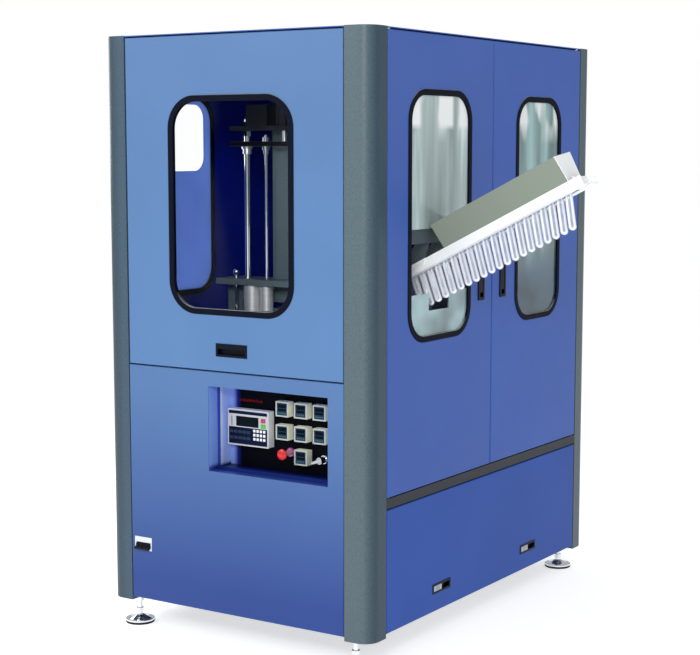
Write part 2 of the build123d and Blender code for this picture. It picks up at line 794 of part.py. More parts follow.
def handle_lever(handle_u):
    """Lever that lies in the frame, pivots near its top and has a scooped lower end."""
    half = handle_width / 2 - 2 * handle_rim - handle_play
    top = handle_pin_z + 7
    low = handle_low + 2 * handle_rim + handle_finger_gap
    back = right - handle_lever_depth
    face = right + handle_frame_proud - 1
    with BuildPart() as lever:
        with BuildSketch(Plane(origin=(0, handle_u - half, 0), x_dir=(1, 0, 0), z_dir=(0, -1, 0))):
            with BuildLine():
                Polyline((back, handle_pin_z), (back, low + 12), (back + 6, low), (face, low), (face, top - 4))
                ThreePointArc((face, top - 4), (handle_pin_x + 2, top), (back, handle_pin_z))
            make_face()
            with Locations((handle_pin_x, handle_pin_z)):
                Circle(handle_pin_radius + running_fit, mode=Mode.SUBTRACT)
        extrude(amount=-2 * half)
    return lever


save(handle_frame(near_handle_u), "near_handle_frame")
save(handle_frame(far_handle_u), "far_handle_frame")
save(handle_lever(near_handle_u), "near_handle")
save(handle_lever(far_handle_u), "far_handle")

# Front door, hinged along its top edge, with a flush pull near its lower edge
door_u = inner_x - door_gap
door_tray = folded_tray(front_face, -door_u, door_u, front_split + panel_gap, panel_top, door_fold)
with BuildPart() as front_door:
    add(door_tray)
    window_hole(front_face, front_window, front_window_radius)
    with BuildSketch(front_face):
        rect(*pull)
    extrude(amount=-3 * sheet, mode=Mode.SUBTRACT)
    for sign in (-1, 1):
        end = cx + sign * (door_u - sheet)
        start = end - sign * hinge_block
        block(min(start, end), max(start, end), front + sheet, front + door_fold,
              panel_top - sheet - hinge_block, panel_top - sheet)
        with BuildSketch(cross_x.offset(sign * door_u)):
            with Locations((front_pin_y, front_pin_z)):
                Circle(hinge_pin_radius + running_fit)
        extrude(amount=-sign * (hinge_pin_reach + 2), mode=Mode.SUBTRACT)
save(front_door, "front_door")
save(window_seal(front_face, front_window, front_window_radius), "front_window_seal")
save(window_pane(front_face, front_window, front_window_radius), "front_pane")
p0, p1, q0, q1 = pull
with BuildPart() as front_pull:
    with BuildSketch(front_face):
        rect(p0 - 4, p1 + 4, q0 - 4, q1 + 4)
    extrude(amount=2)
    with BuildSketch(front_face):
        rect(*pull)
    extrude(amount=-pull_depth)
    with BuildSketch(front_face.offset(2)):
        rect(p0 + 3, p1 - 3, q0 + 3, q1 - 3)
    extrude(amount=-(pull_depth - 1), mode=Mode.SUBTRACT)
    with BuildSketch(front_face.offset(2)):
        rect(p0 + 3, p1 - 3, q1 - 13, q1 - 3)
    extrude(amount=-3)
save(front_pull, "front_pull")

# Service panel: flap hinged along its top edge
flap_tray = folded_tray(right_face, near_edge, -near_edge, panel_bottom, flap_top, door_fold)
latches = {"near_latch_slider": near_latch_u, "far_latch_slider": far_latch_u}
with BuildPart() as service_panel:
    add(flap_tray)
    for sign in (-1, 1):
        end = sign * (-near_edge - sheet)
        start = end - sign * hinge_block
        block(right - door_fold, right - sheet, min(start, end), max(start, end),
              flap_top - sheet - hinge_block, flap_top - sheet)
    for sign in (-1, 1):
        with BuildSketch(cross_y.offset(sign * -near_edge)):
            with Locations((pin_x, flap_pin_z)):
                Circle(hinge_pin_radius + running_fit)
        extrude(amount=-sign * (hinge_pin_reach + 2), mode=Mode.SUBTRACT)
    with BuildSketch(right_face):
        for l0, l1 in latches.values():
            rect(l0 + latch_rim / 2, l1 - latch_rim / 2, latch_low + latch_rim / 2, latch_high - latch_rim / 2)
    extrude(amount=-3 * sheet, mode=Mode.SUBTRACT)
save(service_panel, "service_panel")
with BuildPart() as latch_frames:
    with BuildSketch(right_face):
        for l0, l1 in latches.values():
            rect(l0, l1, latch_low, latch_high)
    extrude(amount=latch_proud)
    with BuildSketch(right_face):
        for l0, l1 in latches.values():
            rect(l0 + latch_rim / 2, l1 - latch_rim / 2, latch_low + latch_rim / 2, latch_high - latch_rim / 2)
    extrude(amount=-latch_depth)
    with BuildSketch(right_face.offset(latch_proud)):
        for l0, l1 in latches.values():
            rect(l0 + latch_rim, l1 - latch_rim, latch_low + latch_rim, latch_high - latch_rim)
    extrude(amount=-(latch_proud + latch_depth - 2), mode=Mode.SUBTRACT)
save(latch_frames, "latch_frames")
slider_play = 0.2
for name, (l0, l1) in latches.items():
    with BuildPart() as slider:
        with BuildSketch(right_face.offset(latch_proud - 0.5)):
            rect(l0 + latch_rim + slider_play, l0 + latch_rim + slider_share,
                 latch_low + latch_rim + slider_play, latch_high - latch_rim - slider_play)
        extrude(amount=-(latch_proud + latch_depth - 2 - 0.5 - slider_play))
        with BuildSketch(right_face.offset(latch_proud - 0.5)):
            with Locations((l0 + latch_rim + slider_share / 2, (latch_low + latch_high) / 2)):
                with GridLocations(5, 0, 5, 1):
                    Rectangle(2, latch_high - latch_low - 2 * latch_rim - 4)
        extrude(amount=-1.5, mode=Mode.SUBTRACT)
    save(slider, name)

# Preform chute: the slope's own plane stands on the near rail's outer face.
# The two rails are tied at the upper end by a bent stop plate.
slope_cos = cos(radians(chute_slope))
slope_sin = sin(radians(chute_slope))
chute_plane = Plane(origin=(right, chute_near, chute_mid_z), x_dir=(slope_cos, 0, slope_sin), z_dir=(0, -1, 0))
chute_top_end = chute_reach / slope_cos - rail_height / 2 * slope_sin / slope_cos
lip_half = preform_radius + lip_clearance
chute_mid_y = chute_near + chute_width / 2
stop_back_from = 26.0
stop_back_to = 22.0
stop_foot_from = 46.0
stop_rise = 6.0
with BuildPart() as chute_rails:
    for sign in (-1, 1):
        wall_plane = chute_plane.offset(-chute_width / 2 + sign * chute_width / 2)
        with BuildSketch(wall_plane):
            rect(chute_low_end, chute_top_end, -rail_height / 2, rail_height / 2)
        extrude(amount=-sign * rail_sheet)
        with BuildSketch(wall_plane):
            rect(chute_low_end, chute_top_end, -rail_height / 2, -rail_height / 2 + lip_sheet)
        extrude(amount=-sign * (chute_width / 2 - lip_half))
    with BuildSketch(chute_plane.offset(-rail_sheet)):
        rect(chute_top_end - stop_back_from, chute_top_end - stop_back_to,
             -rail_height / 2 + lip_sheet, rail_height / 2 + stop_rise)
        rect(chute_top_end - stop_foot_from, chute_top_end - stop_back_to,
             -rail_height / 2 + lip_sheet, -rail_height / 2 + 2 * lip_sheet)
    extrude(amount=-(chute_width - 2 * rail_sheet))
save(chute_rails, "chute_rails")

# Cover: inverted trough with closed ends, standing on the rails
with BuildPart() as chute_cover:
    with BuildSketch(chute_plane):
        rect(cover_start, cover_start + cover_length, rail_height / 2, rail_height / 2 + cover_height)
    extrude(amount=-chute_width)
    under = chute_cover.faces().sort_by(Axis(chute_plane.origin, chute_plane.y_dir))[0]
    offset(amount=-cover_sheet, openings=under)
save(chute_cover, "chute_cover")

# Preforms hang by their neck rings between the lips; the lower ones lean more
with BuildPart() as preform_blank:
    dome = preform_radius
    wall = preform_radius - preform_bore_radius
    with BuildSketch(Plane.XZ):
        with BuildLine():
            Polyline((preform_bore_radius, preform_neck_height), (preform_neck_radius, preform_neck_height),
                     (preform_neck_radius, preform_ring_height), (preform_ring_radius, preform_ring_height),
                     (preform_ring_radius, 0), (preform_neck_radius, 0), (preform_radius, -14),
                     (preform_radius, dome - preform_length))
            RadiusArc((preform_radius, dome - preform_length), (0, -preform_length), preform_radius)
            Line((0, -preform_length), (0, wall - preform_length))
            RadiusArc((0, wall - preform_length), (preform_bore_radius, dome - preform_length), -preform_bore_radius)
            Line((preform_bore_radius, dome - preform_length), (preform_bore_radius, preform_neck_height))
        make_face()
    revolve(axis=Axis.Z)
places = []
for i in range(preform_count):
    s = preform_first + i * preform_pitch
    lean = preform_lean_low + (preform_lean_high - preform_lean_low) * i / (preform_count - 1)
    tilt = radians(chute_slope - lean)
    lift = lip_half * tan(tilt) / 2 + ring_play
    t = -rail_height / 2 + lip_sheet + lift
    x = right + s * slope_cos - t * slope_sin
    z = chute_mid_z + s * slope_sin + t * slope_cos
    places.append(Location((x, chute_mid_y, z), (0, -lean, 0)))
with BuildPart() as preforms:
    with Locations(*places):
        add(preform_blank.part)
save(preforms, "preforms")

# Bracket: bar across the window behind the panes, and two hangers that carry the rails
bar_back = right - seal_depth - 14
bar_front = right - seal_depth - seat_gap
with BuildPart() as chute_bracket:
    block(bar_back, bar_front, near_window[0] - 20, near_window[1] + 20, bracket_low, bracket_high)
    for y0 in (chute_near - rail_sheet, chute_far):
        with BuildSketch(Plane(origin=(0, y0 + rail_sheet, 0), x_dir=(1, 0, 0), z_dir=(0, -1, 0))):
            with BuildLine():
                Polyline((bar_back - 76, chute_mid_z - 52), (bar_back - 6, chute_mid_z - 17),
                         (bar_front, bracket_low), (bar_front, bracket_high), (bar_back, bracket_high),
                         (bar_back - 76, chute_mid_z - 10), close=True)
            make_face()
        extrude(amount=rail_sheet)
    for y0 in (near_window[0] - 20, near_window[1] + 2):
        block(bar_front - 1, right - sheet, y0, y0 + 18, bracket_low, bracket_high)
save(chute_bracket, "chute_bracket")

# Station frame: two legs, a cross beam and the upright column in one weldment
x_station = cx + station_u
with BuildPart() as station_frame:
    for sign in (-1, 1):
        leg_x = x_station + sign * leg_offset
        block(leg_x - leg_side / 2, leg_x + leg_side / 2, column_front, column_front + leg_side,
              deck_top, nozzle_plate_low)
    block(x_station - leg_offset, x_station + leg_offset, column_front, column_front + leg_side,
          nozzle_plate_low - leg_side, nozzle_plate_low)
    block(x_station - column_half, x_station + column_half, column_front, column_front + column_thickness,
          nozzle_plate_low, column_top)
save(station_frame, "station_frame")


def station_circles(places, radius, mode=Mode.ADD):
    """Circles in plan at the given offsets from the station's middle."""
    with Locations(*[(x_station + u, station_v) for u in places]):
        Circle(radius, mode=mode)


guides = (-guide_offset, guide_offset)
stretches = (-stretch_offset, stretch_offset)
index_rod_u = -205.0
index_rod_radius = 4.0
with BuildPart() as nozzle_plate:
    with BuildSketch(Plane.XY.offset(nozzle_plate_low)):
        rect(x_station - nozzle_plate_half, x_station + nozzle_plate_half, plate_front, plate_back)
        slot = column_half + 1
        rect(x_station - slot, x_station + slot, column_front, column_front + column_thickness + 1, Mode.SUBTRACT)
        station_circles(stretches, stretch_radius + running_fit, Mode.SUBTRACT)
        station_circles((index_rod_u,), index_rod_radius + running_fit, Mode.SUBTRACT)
    extrude(amount=nozzle_plate_thickness)
save(nozzle_plate, "nozzle_plate")

# Blow nozzles and the two lock cylinders beside them, all hung under the nozzle plate
nozzle_low = mould_high + 22
lock_offset = 136.0
with BuildPart() as blow_nozzles:
    with BuildSketch(Plane.XY.offset(nozzle_low)):
        station_circles(stretches, 22)
    extrude(amount=nozzle_plate_low - nozzle_low)
    with BuildSketch(Plane.XY.offset(nozzle_plate_low - 12)):
        station_circles(stretches, 27)
    extrude(amount=12)
    chamfer(blow_nozzles.faces().group_by(Axis.Z)[0].edges(), 6)
    with BuildSketch(Plane.XY.offset(nozzle_low)):
        station_circles(stretches, stretch_radius + running_fit)
    extrude(amount=nozzle_plate_low - nozzle_low, mode=Mode.SUBTRACT)
    with BuildSketch(Plane.XY.offset(nozzle_low - 5)):
        station_circles((-lock_offset, lock_offset), 30)
    extrude(amount=nozzle_plate_low - nozzle_low + 5)
save(blow_nozzles, "blow_nozzles")

# Stretch head: plate on the column, lift cylinder and valve block
head_top = head_low + station_plate
with BuildPart() as stretch_head:
    block(x_station - head_half, x_station + head_half, plate_front, column_front, head_low, head_top)
    block(x_station - valve_block_from, x_station - valve_block_to, plate_front + 6, column_front - 6,
          head_top, head_top + valve_block_height)
    with BuildSketch(Plane.XY.offset(head_top)):
        station_circles((0,), lift_cylinder_radius)
    extrude(amount=lift_cylinder_top - head_top)
    with BuildSketch(Plane.XY.offset(head_low)):
        station_circles((0,), lift_rod_radius + running_fit)
    extrude(amount=lift_cylinder_top - head_low - 8, mode=Mode.SUBTRACT)
    with BuildSketch(Plane.XY.offset(head_low)):
        station_circles(guides, 0.8 * guide_radius + running_fit)
    extrude(amount=station_plate, mode=Mode.SUBTRACT)
save(stretch_head, "stretch_head")

# Guide rods with hexagon shoulders and end nuts, and the thin index rod with its ball knob
rod_low = nozzle_plate_low + nozzle_plate_thickness
with BuildPart() as guide_rods:
    with BuildSketch(Plane.XY.offset(rod_low)):
        station_circles(guides, guide_radius)
    extrude(amount=head_low - rod_low)
    with BuildSketch(Plane.XY.offset(rod_low)):
        station_circles(guides, 1.6 * guide_radius)
    extrude(amount=6)
    for z0, height in ((head_low - 18, 18), (head_top, 14)):
        with BuildSketch(Plane.XY.offset(z0)):
            with Locations(*[(x_station + u, station_v) for u in guides]):
                RegularPolygon(1.5 * guide_radius, 6)
        extrude(amount=height)
    with BuildSketch(Plane.XY.offset(head_low)):
        station_circles(guides, 0.8 * guide_radius)
    extrude(amount=station_plate + 22)
    with BuildSketch(Plane.XY.offset(nozzle_low - 10)):
        station_circles((index_rod_u,), index_rod_radius)
    extrude(amount=rod_low - nozzle_low + 22)
    with BuildSketch(Plane.XY.offset(rod_low)):
        station_circles((index_rod_u,), 9)
    extrude(amount=4)
    with Locations((x_station + index_rod_u, station_v, rod_low + 20)):
        Sphere(11)
save(guide_rods, "guide_rods")

# Carriage: plate with flanged guide bushes and the lift rod
bush_length = 26.0
carriage_top = carriage_low + station_plate
with BuildPart() as carriage:
    block(x_station - head_half, x_station + head_half, plate_front, column_front - 4, carriage_low, carriage_top)
    with BuildSketch(Plane.XY.offset(carriage_low - bush_length)):
        station_circles(guides, 1.5 * guide_radius)
    extrude(amount=bush_length)
    with BuildSketch(Plane.XY.offset(carriage_low - 8)):
        station_circles(guides, 1.9 * guide_radius)
    extrude(amount=8)
    with BuildSketch(Plane.XY.offset(carriage_low - bush_length)):
        station_circles(guides, guide_radius + running_fit)
    extrude(amount=bush_length + station_plate, mode=Mode.SUBTRACT)
    with BuildSketch(Plane.XY.offset(carriage_low)):
        station_circles(stretches, stretch_radius)
    extrude(amount=station_plate, mode=Mode.SUBTRACT)
    with BuildSketch(Plane.XY.offset(carriage_top)):
        station_circles((0,), lift_rod_radius)
    extrude(amount=lift_cylinder_top - lift_rod_short - carriage_top)
save(carriage, "carriage")

# Stretch rods with their chuck nuts above and below the carriage
stretch_tip = 1062.0
with BuildPart() as stretch_rods:
    with BuildSketch(Plane.XY.offset(stretch_tip)):
        station_circles(stretches, stretch_radius)
    extrude(amount=carriage_top + 22 - stretch_tip)
    for z0, radius, height in ((carriage_low - 12, 13, 12), (carriage_low - 26, 9, 14), (carriage_top, 11, 14)):
        with BuildSketch(Plane.XY.offset(z0)):
            station_circles(stretches, radius)
        extrude(amount=height)
save(stretch_rods, "stretch_rods")


def bottle_cutter(x, y):
    """Solid of one bottle about an upright axis, neck up at the mould's top face."""
    base = mould_high - bottle_height
    with BuildPart() as bottle:
        with BuildSketch(Plane(origin=(x, y, 0), x_dir=(1, 0, 0), z_dir=(0, -1, 0))):
            with BuildLine():
                Polyline((0, base), (bottle_radius - 8, base), (bottle_radius, base + 8),
                         (bottle_radius, base + 140))
                Spline((bottle_radius, base + 140), (0.72 * bottle_radius, base + 175),
                       (bottle_neck_radius, base + 200), tangents=((0, 1), (0, 1)))
                Polyline((bottle_neck_radius, base + 200), (bottle_neck_radius, mould_high + 1),
                         (0, mould_high + 1), (0, base))
            make_face()
        revolve(axis=Axis((x, y, 0), (0, 0, 1)))
    return bottle.part


# Mould halves: block with two half bottles, bolster on the tie bars, ram
for name, sign in (("mould_front", -1), ("mould_rear", 1)):
    parting = station_v + sign * (mould_open + mould_touch_gap)
    cutters = [bottle_cutter(x_station + u, parting) for u in stretches]
    face_back = parting + sign * mould_depth
    bolster_back = face_back + sign * bolster_depth
    ram_end = bolster_back + sign * (platen_gap + platen_depth + ram_cylinder_length - 10)
    across = Plane(origin=(0, face_back, 0), x_dir=(sign * -1, 0, 0), z_dir=(0, sign, 0))
    with BuildPart() as mould:
        block(x_station - mould_half_width, x_station + mould_half_width, min(parting, face_back),
              max(parting, face_back), mould_low, mould_high)
        for cutter in cutters:
            add(cutter, mode=Mode.SUBTRACT)
        block(x_station - bolster_half, x_station + bolster_half, min(face_back, bolster_back),
              max(face_back, bolster_back), bolster_low, bolster_high)
        with BuildSketch(across):
            with Locations(*[(-sign * x_station + u, z) for u in (-tie_offset, tie_offset) for z in tie_heights]):
                Circle(tie_radius + running_fit)
        extrude(amount=bolster_depth, mode=Mode.SUBTRACT)
        with BuildSketch(across.offset(bolster_depth)):
            with Locations((-sign * x_station, (mould_low + mould_high) / 2)):
                Circle(ram_radius)
        extrude(amount=abs(ram_end - bolster_back))
    save(mould, name)

# End platens stand on the deck and carry the tie bars and closing cylinders
platen_inner = mould_open + mould_touch_gap + mould_depth + bolster_depth + platen_gap
with BuildPart() as end_platens:
    for sign in (-1, 1):
        across = Plane(origin=(0, station_v + sign * platen_inner, 0), x_dir=(-sign, 0, 0), z_dir=(0, sign, 0))
        mid_z = (mould_low + mould_high) / 2
        with BuildSketch(across):
            rect(-sign * x_station - bolster_half, -sign * x_station + bolster_half, deck_top, bolster_high)
            with Locations(*[(-sign * x_station + u, z) for u in (-tie_offset, tie_offset) for z in tie_heights]):
                Circle(tie_radius + running_fit, mode=Mode.SUBTRACT)
        extrude(amount=platen_depth)
        with BuildSketch(across.offset(platen_depth)):
            with Locations((-sign * x_station, mid_z)):
                Circle(ram_cylinder_radius)
        extrude(amount=ram_cylinder_length)
        with BuildSketch(across):
            with Locations((-sign * x_station, mid_z)):
                Circle(ram_radius + running_fit)
        extrude(amount=platen_depth + ram_cylinder_length - 4, mode=Mode.SUBTRACT)
save(end_platens, "end_platens")
with BuildPart() as tie_bars:
    with BuildSketch(Plane(origin=(0, station_v - platen_inner - platen_depth, 0), x_dir=(-1, 0, 0), z_dir=(0, 1, 0))):
        with Locations(*[(-x_station + u, z) for u in (-tie_offset, tie_offset) for z in tie_heights]):
            Circle(tie_radius)
    extrude(amount=2 * (platen_inner + platen_depth))
save(tie_bars, "tie_bars")

# Oven: housing with a tunnel open at the top and both ends, lamps along both sides
o0, o1, r0, r1 = oven
oven_mid = cx + (o0 + o1) / 2
with BuildPart() as oven_housing:
    block(cx + o0, cx + o1, r0, r1, deck_top, oven_top)
    offset(amount=-oven_sheet, openings=oven_housing.faces().sort_by(Axis.Z)[0])
    tunnel_floor = oven_top - tunnel_depth
    block(oven_mid - tunnel_half - oven_sheet, oven_mid + tunnel_half + oven_sheet, r0, r1,
          tunnel_floor - oven_sheet, oven_top)
    block(oven_mid - tunnel_half, oven_mid + tunnel_half, r0, r1, tunnel_floor, oven_top, Mode.SUBTRACT)
save(oven_housing, "oven_housing")
with BuildPart() as heater_lamps:
    lamp_pitch = (tunnel_depth - 50) / lamp_count
    for sign in (-1, 1):
        for i in range(lamp_count):
            z = tunnel_floor + 30 + i * lamp_pitch
            wall_x = oven_mid + sign * tunnel_half
            for y0 in (r0 + 20, r1 - 20 - lamp_block):
                block(min(wall_x, wall_x - sign * lamp_block), max(wall_x, wall_x - sign * lamp_block),
                      y0, y0 + lamp_block, z - lamp_block / 2, z + lamp_block / 2)
            lamp_end = Plane(origin=(wall_x - sign * lamp_block / 2, r0 + 20, z), x_dir=(-1, 0, 0), z_dir=(0, 1, 0))
            with BuildSketch(lamp_end):
                Circle(lamp_radius)
            extrude(amount=r1 - r0 - 40)
save(heater_lamps, "heater_lamps")
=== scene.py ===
import bmesh
import bpy
import math
import random
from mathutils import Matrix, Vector


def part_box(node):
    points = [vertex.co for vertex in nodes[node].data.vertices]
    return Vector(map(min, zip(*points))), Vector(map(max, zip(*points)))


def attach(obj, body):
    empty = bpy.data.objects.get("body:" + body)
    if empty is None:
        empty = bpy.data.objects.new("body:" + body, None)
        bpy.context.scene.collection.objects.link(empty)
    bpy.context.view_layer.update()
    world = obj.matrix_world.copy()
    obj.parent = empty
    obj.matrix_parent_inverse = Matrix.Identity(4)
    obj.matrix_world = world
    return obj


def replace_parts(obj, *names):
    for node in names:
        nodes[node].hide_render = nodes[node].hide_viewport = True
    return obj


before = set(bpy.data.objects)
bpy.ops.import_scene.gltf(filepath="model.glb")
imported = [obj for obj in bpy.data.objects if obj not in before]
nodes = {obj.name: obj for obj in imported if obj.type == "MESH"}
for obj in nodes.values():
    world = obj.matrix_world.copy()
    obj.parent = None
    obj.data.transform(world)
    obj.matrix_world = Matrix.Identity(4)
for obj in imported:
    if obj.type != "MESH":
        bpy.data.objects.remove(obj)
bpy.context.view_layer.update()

# Places read from the frame, metres
left_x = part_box("left_panel")[0].x
right_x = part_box("near_door")[1].x
mid_x = (left_x + right_x) / 2
front_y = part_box("lower_front_panel")[0].y

# Preform chute: its rail rises to the right, from this height at the near door's face
slope = math.radians(26.8)
chute_z = 1.246
rail_half_height = 0.0152

# Colours used more than once
BLUE = (0.052, 0.110, 0.375)
INNER_SHADE_NAVY = (0.002, 0.012, 0.33)
DARK_IRON = (0.016, 0.020, 0.028)
STOP_RED = (0.66, 0.012, 0.012)
RED_GLOW = (0.42, 0.12, 0.34)
BRIGHT_STEEL = (0.66, 0.67, 0.70)
FLOOR_GREY = (0.80, 0.80, 0.80)
WHITE, BLACK = (1, 1, 1), (0, 0, 0)


# ---------------------------------------------------------------- shader nodes
def feed(socket, value):
    """Link a socket to another node's output, or set it to a constant."""
    if isinstance(value, bpy.types.NodeSocket):
        socket.id_data.links.new(value, socket)
    elif socket.type == "RGBA":
        socket.default_value = (*value, 1)
    else:
        socket.default_value = value


def add(nt, kind, inputs, **settings):
    """New shader node with its settings, and its inputs fed by name or number."""
    n = nt.nodes.new("ShaderNode" + kind)
    for key, value in settings.items():
        setattr(n, key, value)
    for key, value in inputs.items():
        feed(n.inputs[key], value)
    return n


def place(nt, scale=(1, 1, 1), turn=(0, 0, 0)):
    """Object coordinates in metres, stretched and turned."""
    source = add(nt, "TexCoord", {})
    mapping = add(nt, "Mapping", {"Vector": source.outputs["Object"], "Scale": scale, "Rotation": turn})
    return mapping.outputs["Vector"]


def noise(nt, vector, scale, detail=3.0, rough=0.5):
    """Soft random pattern, 0 to 1, with scale patches to the metre."""
    inputs = {"Vector": vector, "Scale": scale, "Detail": detail, "Roughness": rough}
    return add(nt, "TexNoise", inputs).outputs["Fac"]


def cells(nt, vector, scale):
    """Pattern of rounded cells: 0 in the middle of each and higher between them."""
    return add(nt, "TexVoronoi", {"Vector": vector, "Scale": scale}, feature="SMOOTH_F1").outputs["Distance"]


def ramp(nt, fac, *stops):
    """Colour ramp with (position, colour) stops."""
    n = add(nt, "ValToRGB", {"Fac": fac})
    while len(n.color_ramp.elements) < len(stops):
        n.color_ramp.elements.new(0.5)
    for element, (position, color) in zip(n.color_ramp.elements, stops):
        element.position = position
        element.color = (*color, 1)
    return n.outputs["Color"]


def ranged(nt, value, low, high, to_low, to_high):
    """Value between low and high carried over to another range."""
    inputs = {"Value": value, "From Min": low, "From Max": high, "To Min": to_low, "To Max": to_high}
    return add(nt, "MapRange", inputs).outputs["Result"]


def times(nt, a, b):
    """Product of two values."""
    return add(nt, "Math", {0: a, 1: b}, operation="MULTIPLY").outputs[0]


def mix_color(nt, fac, a, b, blend="MIX"):
    """Colour a where fac is 0 and b where it is 1."""
    inputs = {"Factor": fac, "A": a, "B": b}
    return add(nt, "Mix", inputs, data_type="RGBA", blend_type=blend).outputs["Result"]


def component(nt, vector, axis):
    """A vector's value along one axis."""
    return add(nt, "SeparateXYZ", {"Vector": vector}).outputs[axis]


def box_share(nt, node, axis, start_at, end_at):
    """0 to 1 along one axis of a node's own box, between two shares of its length."""
    low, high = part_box(node)
    index = "XYZ".index(axis)
    foot = low[index] - nodes[node].matrix_world.translation[index]
    length = high[index] - low[index]
    along = component(nt, place(nt), axis)
    return ranged(nt, along, foot + start_at * length, foot + end_at * length, 0.0, 1.0)


def shade(color, k):
    """Colour made darker or lighter by a factor."""
    return tuple(min(1.0, c * k) for c in color)


def clouds(nt, fac, color, dark, light):
    """Colour that wanders between two shades of itself."""
    return ramp(nt, fac, (0.3, shade(color, dark)), (0.7, shade(color, light)))


# ---------------------------------------------------------------- surfaces
def shader_of(m):
    """The material's main shader."""
    return m.node_tree.nodes["Principled BSDF"]


def start(name, color, rough, metal=0.0, specular=0.5):
    """New material with its node tree and its shader, which has a fixed colour and roughness."""
    m = bpy.data.materials.new(name)
    m.use_nodes = True
    m.diffuse_color = (*color, 1)
    shader = shader_of(m)
    feed(shader.inputs["Base Color"], color)
    feed(shader.inputs["Roughness"], rough)
    feed(shader.inputs["Metallic"], metal)
    feed(shader.inputs["Specular IOR Level"], specular)
    return m, m.node_tree, shader


def tint(nt, shader, fac, color, spread):
    """Base colour that varies a little round its own value."""
    feed(shader.inputs["Base Color"], clouds(nt, fac, color, 1 - spread, 1 + spread))


def gloss_varies(nt, shader, fac, rough, spread):
    """Roughness that varies a little round its own value."""
    feed(shader.inputs["Roughness"], ranged(nt, fac, 0.0, 1.0, max(0.0, rough - spread), rough + spread))


def bump(nt, shader, height, strength, distance):
    """Relief on the surface, distance in metres."""
    n = add(nt, "Bump", {"Height": height, "Strength": strength, "Distance": distance})
    feed(shader.inputs["Normal"], n.outputs["Normal"])


def overlay(m, share, color):
    """Another colour over the material's own where share is 1."""
    base = shader_of(m).inputs["Base Color"]
    feed(base, mix_color(m.node_tree, share, base.links[0].from_socket, color))
    return m


def paint_clouds(nt):
    """Broad and faint unevenness of a painted panel."""
    return noise(nt, place(nt), 3.0, 4.0)


def sprayed(nt, shader, rough):
    """Uneven gloss and fine orange peel of sprayed and baked paint."""
    v = place(nt)
    gloss_varies(nt, shader, noise(nt, v, 9.0), rough, 0.05)
    bump(nt, shader, noise(nt, v, 900, 2.0), 0.12, 0.0002)


def powder_coat(name, color, rough=0.40, spread=0.05, specular=0.18):
    """Sprayed and baked paint with faint clouds of colour."""
    m, nt, s = start(name, color, rough, specular=specular)
    tint(nt, s, paint_clouds(nt), color, spread)
    sprayed(nt, s, rough)
    return m


def shade_lined_coat(name, node, axis, skin, core):
    """Powder coat outside, with deep navy painted shade on the inner side of the sheet."""
    m = powder_coat(name, BLUE)
    return overlay(m, box_share(m.node_tree, node, axis, skin, core), INNER_SHADE_NAVY)


def light_and_shade_coat(name, node, low_color, high_color, specular=0.35):
    """Powder coat with painted light and shade: its tone changes from the top of a node to its foot."""
    m = powder_coat(name, high_color, spread=0.04, specular=specular)
    nt = m.node_tree
    low = clouds(nt, paint_clouds(nt), low_color, 0.96, 1.04)
    return overlay(m, box_share(nt, node, "Z", 0.9, 0.1), low)


def recess_coat(name):
    """Recess sheet, painted light and shade: lit side walls with painted shade at the fold half way in and a
    painted highlight behind it, and a sill whose painted shade darkens inwards.
    """
    m, nt, s = start(name, BLUE, 0.4, specular=0.15)
    depth = box_share(nt, "control_recess", "Y", 0.0, 1.0)
    fold_shade = (0.03, 0.06, 0.32)
    walls = ramp(nt, depth, (0.0, (0.18, 0.32, 0.74)), (0.42, (0.17, 0.28, 0.70)), (0.45, fold_shade), (0.47, fold_shade),
                 (0.5, (0.60, 0.70, 0.94)), (0.64, (0.34, 0.46, 0.88)), (1.0, (0.36, 0.50, 0.92)))
    sill = ramp(nt, depth, (0.0, (0.05, 0.10, 0.38)), (0.35, (0.012, 0.03, 0.22)),
                (0.8, (0.001, 0.002, 0.03)))
    feed(s.inputs["Base Color"], mix_color(nt, box_share(nt, "control_recess", "Z", 0.04, 0.08), sill, walls))
    sprayed(nt, s, 0.3)
    return m


def enamel_drops(nt, color):
    """Pools of paint with a darker net between them: their colour and their height."""
    height = cells(nt, place(nt), 210)
    return ramp(nt, height, (0.1, shade(color, 1.1)), (0.75, shade(color, 0.86))), height


def hammered(name, color):
    """Enamel with the small pools of a hammered finish."""
    m, nt, s = start(name, color, 0.38, specular=0.22)
    drops, height = enamel_drops(nt, color)
    feed(s.inputs["Base Color"], drops)
    bump(nt, s, height, 0.28, 0.001)
    return m


def shaded_post(name, node, color, right_color, start_at, end_at):
    """Hammered enamel with painted light and shade: it goes over to a second tone towards the post's right
    side.
    """
    m = hammered(name, color)
    nt = m.node_tree
    return overlay(m, box_share(nt, node, "X", start_at, end_at), enamel_drops(nt, right_color)[0])


def rail_banded(name, node, color, rail_color):
    """Hammered enamel that has the rail's colour where the node covers the chute's rail."""
    m = hammered(name, color)
    nt = m.node_tree
    at = nodes[node].matrix_world.translation
    across = component(nt, place(nt, turn=(0, slope, 0)), "Z")
    middle = (chute_z - at.z) * math.cos(slope) - (right_x - at.x) * math.sin(slope)
    band = add(nt, "Math", {0: across, 1: middle, 2: rail_half_height}, operation="COMPARE")
    return overlay(m, band.outputs[0], rail_color)


def rubber(name, color=(0.002, 0.003, 0.008), rough=0.6):
    """Matt rubber with a fine grain."""
    m, nt, s = start(name, color, rough, specular=0.08)
    v = place(nt)
    tint(nt, s, noise(nt, v, 40.0, 5.0), color, 0.3)
    gloss_varies(nt, s, noise(nt, v, 25.0), rough, 0.1)
    bump(nt, s, noise(nt, v, 1600.0), 0.2, 0.0002)
    return m


